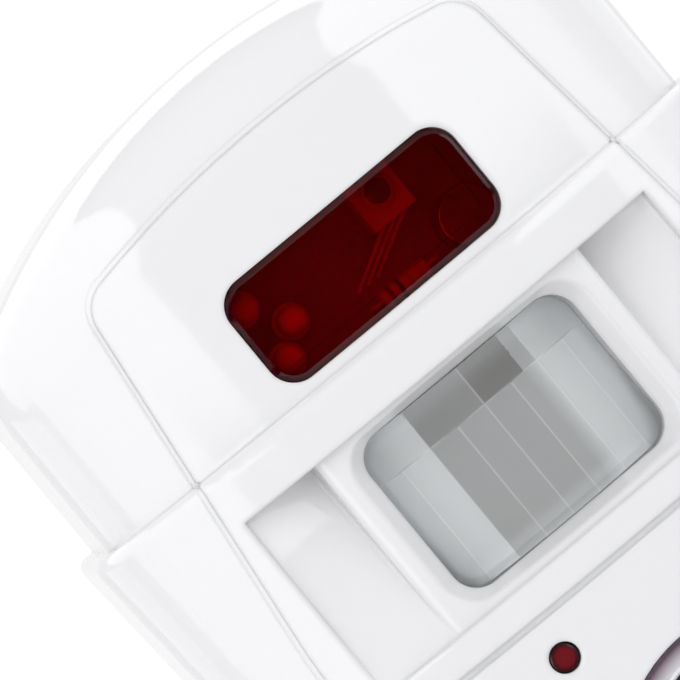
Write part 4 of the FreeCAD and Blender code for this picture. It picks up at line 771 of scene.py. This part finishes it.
seam = seam_sections()
print("seam sections", len(seam))


# %% Lay the ledge in the seam
def ledge_mesh(sunk=0.012, thick=0.8):
    """Closed strip whose front starts just under the cover's face and ends on the case."""
    strip = bmesh.new()
    loops = []
    for inner, high, outer, low in seam:
        corners = ((inner, high + sunk), (outer, low), (outer, low + thick), (inner, high + sunk + thick))
        loops.append([strip.verts.new(Vector((x, y, z)) * MM) for (x, z), y in corners])
    bridge(strip, loops, closed=True)
    return to_mesh("cover_ledge", strip)


ledge = piece("cover_ledge", ledge_mesh(), polished_abs)
print("ledge faces", len(ledge.data.polygons))

# %% [markdown]
# ## Solder on the board
# Every leg that goes through the board ends in a small concave cone of solder on the other side. The cones
# repeat, so Geometry Nodes place them: one cone is drawn in at its waist, set on each point with a slightly
# different size, and made real at the end. Sizes and seed are inputs of the tree.


# %% Build the tree that places solder
WAIST_DRAW = -1.3


def solder_tree():
    """Node tree of the cones, and the identifier of each of its inputs."""
    tree = bpy.data.node_groups.new("solder_on_points", "GeometryNodeTree")
    sockets = {
        "Geometry": "NodeSocketGeometry", "Foot radius": "NodeSocketFloat", "Tip radius": "NodeSocketFloat",
        "Height": "NodeSocketFloat", "Seed": "NodeSocketInt", "Material": "NodeSocketMaterial"}
    made = {name: tree.interface.new_socket(name, in_out="INPUT", socket_type=kind)
            for name, kind in sockets.items()}
    tree.interface.new_socket("Geometry", in_out="OUTPUT", socket_type="NodeSocketGeometry")
    given = add(tree, "NodeGroupInput").outputs
    cone = add(tree, "GeometryNodeMeshCone", {
        "Vertices": 16, "Side Segments": 5, "Radius Top": given["Tip radius"],
        "Radius Bottom": given["Foot radius"], "Depth": given["Height"]})
    position = add(tree, "GeometryNodeInputPosition")
    axes = add(tree, "ShaderNodeSeparateXYZ", {0: position})
    rise = add(tree, "ShaderNodeMath", {0: axes.outputs["Z"], 1: given["Height"]}, operation="DIVIDE")
    rest = add(tree, "ShaderNodeMath", {0: 1.0, 1: rise}, operation="SUBTRACT")
    waist = add(tree, "ShaderNodeMath", {0: rise, 1: rest}, operation="MULTIPLY")
    drawn = add(tree, "ShaderNodeMath", {0: waist, 1: WAIST_DRAW, 2: 1.0}, operation="MULTIPLY_ADD")
    scale = add(tree, "ShaderNodeCombineXYZ", {"X": drawn, "Y": drawn, "Z": 1.0})
    moved = add(tree, "ShaderNodeVectorMath", {0: position, 1: scale}, operation="MULTIPLY")
    shaped = add(tree, "GeometryNodeSetPosition", {"Geometry": cone.outputs["Mesh"], "Position": moved})
    sizes = add(tree, "FunctionNodeRandomValue", {
        "Min": (0.85, 0.85, 0.85), "Max": (1.1, 1.1, 1.15), "Seed": given["Seed"]}, data_type="FLOAT_VECTOR")
    placed = add(tree, "GeometryNodeInstanceOnPoints", {
        "Points": given["Geometry"], "Instance": shaped, "Rotation": (-math.pi / 2, 0, 0),
        "Scale": sizes.outputs["Value"]})
    real = add(tree, "GeometryNodeRealizeInstances", {"Geometry": placed})
    dressed = add(tree, "GeometryNodeSetMaterial", {"Geometry": real, "Material": given["Material"]})
    add(tree, "NodeGroupOutput", {"Geometry": dressed})
    return tree, {name: socket.identifier for name, socket in made.items()}


tree, keys = solder_tree()
print("inputs of the tree", list(keys))


# %% Find where the legs come through
INDICATOR_AXES = ((-8.9, 95.6), (-12.0, 99.6), (-11.6, 92.8))
LAMP_LEG, RECEIVER_LEG, CAPACITOR_LEG = 0.7, 1.27, 1.25
RECEIVER_FOOT = (-0.3, 93.4)
SENSOR_HEIGHT, SENSOR_CIRCLE, SENSOR_TURNS = 72.7, 1.8, (0.8, 2.9, 5.0)
RESISTOR_RADIUS, RESISTOR_LEG = 0.95, 0.4


def leg_places():
    """Where legs come through the board, in millimetres across and up."""
    places = []
    for x, z in (LAMP_AXIS, *INDICATOR_AXES):
        places += [(x - LAMP_LEG, z), (x + LAMP_LEG, z)]
    places += [(RECEIVER_FOOT[0] + RECEIVER_LEG * step, RECEIVER_FOOT[1]) for step in (-1, 0, 1)]
    low, high = (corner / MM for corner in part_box("storage_capacitor"))
    across, up = (low.x + high.x) / 2, (low.z + high.z) / 2
    places += [(across - CAPACITOR_LEG, up), (across + CAPACITOR_LEG, up)]
    places += [(SENSOR_CIRCLE * math.cos(turn), SENSOR_HEIGHT + SENSOR_CIRCLE * math.sin(turn))
               for turn in SENSOR_TURNS]
    low, high = (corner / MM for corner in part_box("board_resistors"))
    between = (high.z - low.z - 2 * RESISTOR_RADIUS) / 3
    levels = [low.z + RESISTOR_RADIUS + between * step for step in range(4)]
    sides = (low.x + RESISTOR_LEG, high.x - RESISTOR_LEG)
    return places + [(side, level) for level in levels for side in sides]


print("legs", len(leg_places()))

# %% Set solder behind every leg
SOLDER_SUNK = 0.02
board_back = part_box("main_board")[1].y / MM
dots = bpy.data.meshes.new("solder_dots")
dots.from_pydata([Vector((x, board_back - SOLDER_SUNK, z)) * MM for x, z in leg_places()], [], [])
holder = bpy.data.objects.new("solder_dots", dots)
bpy.context.collection.objects.link(holder)
modifier = holder.modifiers.new("solder", "NODES")
modifier.node_group = tree
inputs = {
    "Foot radius": 0.85 * MM, "Tip radius": 0.28 * MM, "Height": 0.9 * MM, "Seed": 5, "Material": solder_tin}
for name, value in inputs.items():
    modifier[keys[name]] = value
evaluated = bpy.context.evaluated_depsgraph_get()
solder_mesh = bpy.data.meshes.new_from_object(holder.evaluated_get(evaluated))
bpy.data.objects.remove(holder)
solder = piece("solder_joints", solder_mesh, solder_tin, smooth=True)
print("solder faces", len(solder_mesh.polygons))

# %% [markdown]
# ## Studio
# The photograph was taken on a pale table in soft light from all round, as in a photographer's tent. Here a
# pale floor and an even white world do this. Large lamps all round could do it too, but a world has no edges
# that a glossy face would mirror. It lights at one plain level, so that a colour renders about as it is
# written, and is white wherever it is seen or mirrored.

# %% Build the floor
FLOOR_HALF = 3.0
FLOOR_LEVEL = -0.0002
FLOOR_LIFT = 0.25


def pale_floor():
    """Large square just under the foot. It is lifted towards white only where the camera sees it."""
    mesh = bpy.data.meshes.new("floor")
    corners = [
        (x * FLOOR_HALF, y * FLOOR_HALF, FLOOR_LEVEL) for x, y in ((-1, -1), (1, -1), (1, 1), (-1, 1))]
    mesh.from_pydata(corners, [], [(0, 1, 2, 3)])
    made = bpy.data.objects.new("floor", mesh)
    bpy.context.collection.objects.link(made)
    material, tree, where = start_material("pale_board")
    cloud = add(tree, "ShaderNodeTexNoise", {"Vector": where, "Scale": 1 / (60 * MM)})
    colour = add(tree, "ShaderNodeMix", {
        0: cloud, 6: linear("F4F4F4"), 7: linear("F0F0F0")}, data_type="RGBA").outputs[2]
    grain = add(tree, "ShaderNodeTexNoise", {"Vector": where, "Scale": 1 / (1.5 * MM)})
    normal = add(tree, "ShaderNodeBump", {"Height": grain, "Distance": 0.01 * MM})
    shader = add(tree, "ShaderNodeBsdfPrincipled", {"Base Color": colour, "Roughness": 0.8, "Normal": normal})
    seen = add(tree, "ShaderNodeLightPath").outputs["Is Camera Ray"]
    share = add(tree, "ShaderNodeMath", {0: seen, 1: FLOOR_LIFT}, operation="MULTIPLY")
    lift = add(tree, "ShaderNodeEmission", {"Strength": share})
    both = add(tree, "ShaderNodeAddShader", {0: shader, 1: lift})
    add(tree, "ShaderNodeOutputMaterial", {"Surface": both})
    mesh.materials.append(material)
    made.visible_glossy = False


pale_floor()
print("floor of", 2 * FLOOR_HALF, "m")


# %% Build the world
def white_world(level):
    """World that lights at one level and is white where it is seen, mirrored or looked at through glass."""
    world = bpy.data.worlds.new("white")
    bpy.context.scene.world = world
    world.use_nodes = True
    tree = world.node_tree
    tree.nodes.clear()
    rays = add(tree, "ShaderNodeLightPath").outputs
    through = add(tree, "ShaderNodeMath", {
        0: rays["Is Camera Ray"], 1: rays["Is Transmission Ray"]}, operation="MAXIMUM")
    white = add(tree, "ShaderNodeMath", {0: through, 1: rays["Is Glossy Ray"]}, operation="MAXIMUM")
    room = add(tree, "ShaderNodeBackground", {"Color": (1, 1, 1, 1), "Strength": level})
    seen = add(tree, "ShaderNodeBackground", {"Color": (1, 1, 1, 1), "Strength": 1.0})
    mixed = add(tree, "ShaderNodeMixShader", {0: white, 1: room, 2: seen})
    add(tree, "ShaderNodeOutputWorld", {"Surface": mixed})


white_world(0.97)
print("worlds", len(bpy.data.worlds))

# %% [markdown]
# ### Lamp
# Even light alone draws no form. One soft lamp, near the face and above it on the left, makes the top of
# every bulge a little lighter than its foot.

# %% Hang the lamp
STUDIO_MIDDLE = Vector((0, -0.02, 0.09))


def direction(azimuth, elevation):
    """Direction from the object, with the azimuth from the face towards +X."""
    angle, rise = math.radians(azimuth), math.radians(elevation)
    return Vector((math.sin(angle) * math.cos(rise), -math.cos(angle) * math.cos(rise), math.sin(rise)))


def soft_lamp(name, azimuth, elevation, radiance, size, distance):
    """Square area lamp that mirrors don't show, with its power worked out from how bright its surface is."""
    lamp = bpy.data.lights.new(name, "AREA")
    lamp.size = size
    lamp.energy = radiance * math.pi * size ** 2
    made = bpy.data.objects.new(name, lamp)
    toward = direction(azimuth, elevation)
    made.location = STUDIO_MIDDLE + toward * distance
    made.rotation_euler = toward.to_track_quat("Z", "Y").to_euler()
    made.visible_camera = made.visible_glossy = False
    bpy.context.collection.objects.link(made)


soft_lamp("lamp_front", -10, 40, 1.05, size=0.42, distance=0.44)
print("lamps", len(bpy.data.lights))

# %% [markdown]
# ### Reflections
# A tent is bright all round but for the side with the camera, which is dark, and a polished bowed front shows
# that as a darker band between two bright ones. Real sheets would light the object too, so each of these is
# a card that only mirror-like reflections see: the bright tent in front and above, the soft sides and the
# dimmer back, the dark side with the camera, and the table's dark edge below it.


# %% Define a card
def mirror_card(name, sides, arch, strength, distance=1.1, rounded=0.0, steps=48):
    """Card arched over the object that only mirror-like reflections see.

    sides are angles to the left and right of the object's middle plane, arch goes from the front over the
    top, and rounded is the angle over which its far corners are rounded.
    """
    card = bmesh.new()
    grid = []
    for row in range(steps + 1):
        turn = arch[0] + (arch[1] - arch[0]) * row / steps
        over = max(0.0, turn - arch[1] + rounded)
        trim = rounded - math.sqrt(max(0.0, rounded ** 2 - over ** 2))
        rise = math.radians(turn)
        line = []
        for column in range(steps + 1):
            side = math.radians(sides[0] + trim + (sides[1] - sides[0] - 2 * trim) * column / steps)
            reach = math.cos(side)
            toward = Vector((math.sin(side), -reach * math.cos(rise), reach * math.sin(rise)))
            line.append(card.verts.new(STUDIO_MIDDLE + distance * toward))
        grid.append(line)
    for low, high in zip(grid, grid[1:]):
        for column in range(steps):
            card.faces.new((low[column], low[column + 1], high[column + 1], high[column]))
    mesh = bpy.data.meshes.new(name)
    card.to_mesh(mesh)
    card.free()
    material, tree = start_material(name)[:2]
    glow = add(tree, "ShaderNodeEmission", {"Color": (1, 1, 1, 1), "Strength": strength})
    add(tree, "ShaderNodeOutputMaterial", {"Surface": glow})
    mesh.materials.append(material)
    made = bpy.data.objects.new(name, mesh)
    bpy.context.collection.objects.link(made)
    made.visible_camera = made.visible_diffuse = made.visible_transmission = made.visible_shadow = False
    print(name, "faces", len(mesh.polygons), "strength", strength)


print("meshes before the cards", len(bpy.data.meshes))

# %% Hang the cards
# Angles to the sides and over the arch in degrees, then the brightness. A nearer card hides a farther one.
mirror_card("bright_tent", (-80, 55), (-40, 150), 2.0, distance=1.2)
mirror_card("soft_sides", (-90, 90), (174, 206), 1.6, distance=1.2)
mirror_card("dim_back", (-42, 42), (150, 220), 0.95, distance=1.15)
mirror_card("dark_side", (-23, 25.5), (-40, 115), 0.0, rounded=16)
mirror_card("dark_table", (-33, 45), (-40, -2.4), 0.1, distance=1.12)
bpy.context.scene.view_settings.view_transform = "Standard"
print("view transform", bpy.context.scene.view_settings.view_transform)
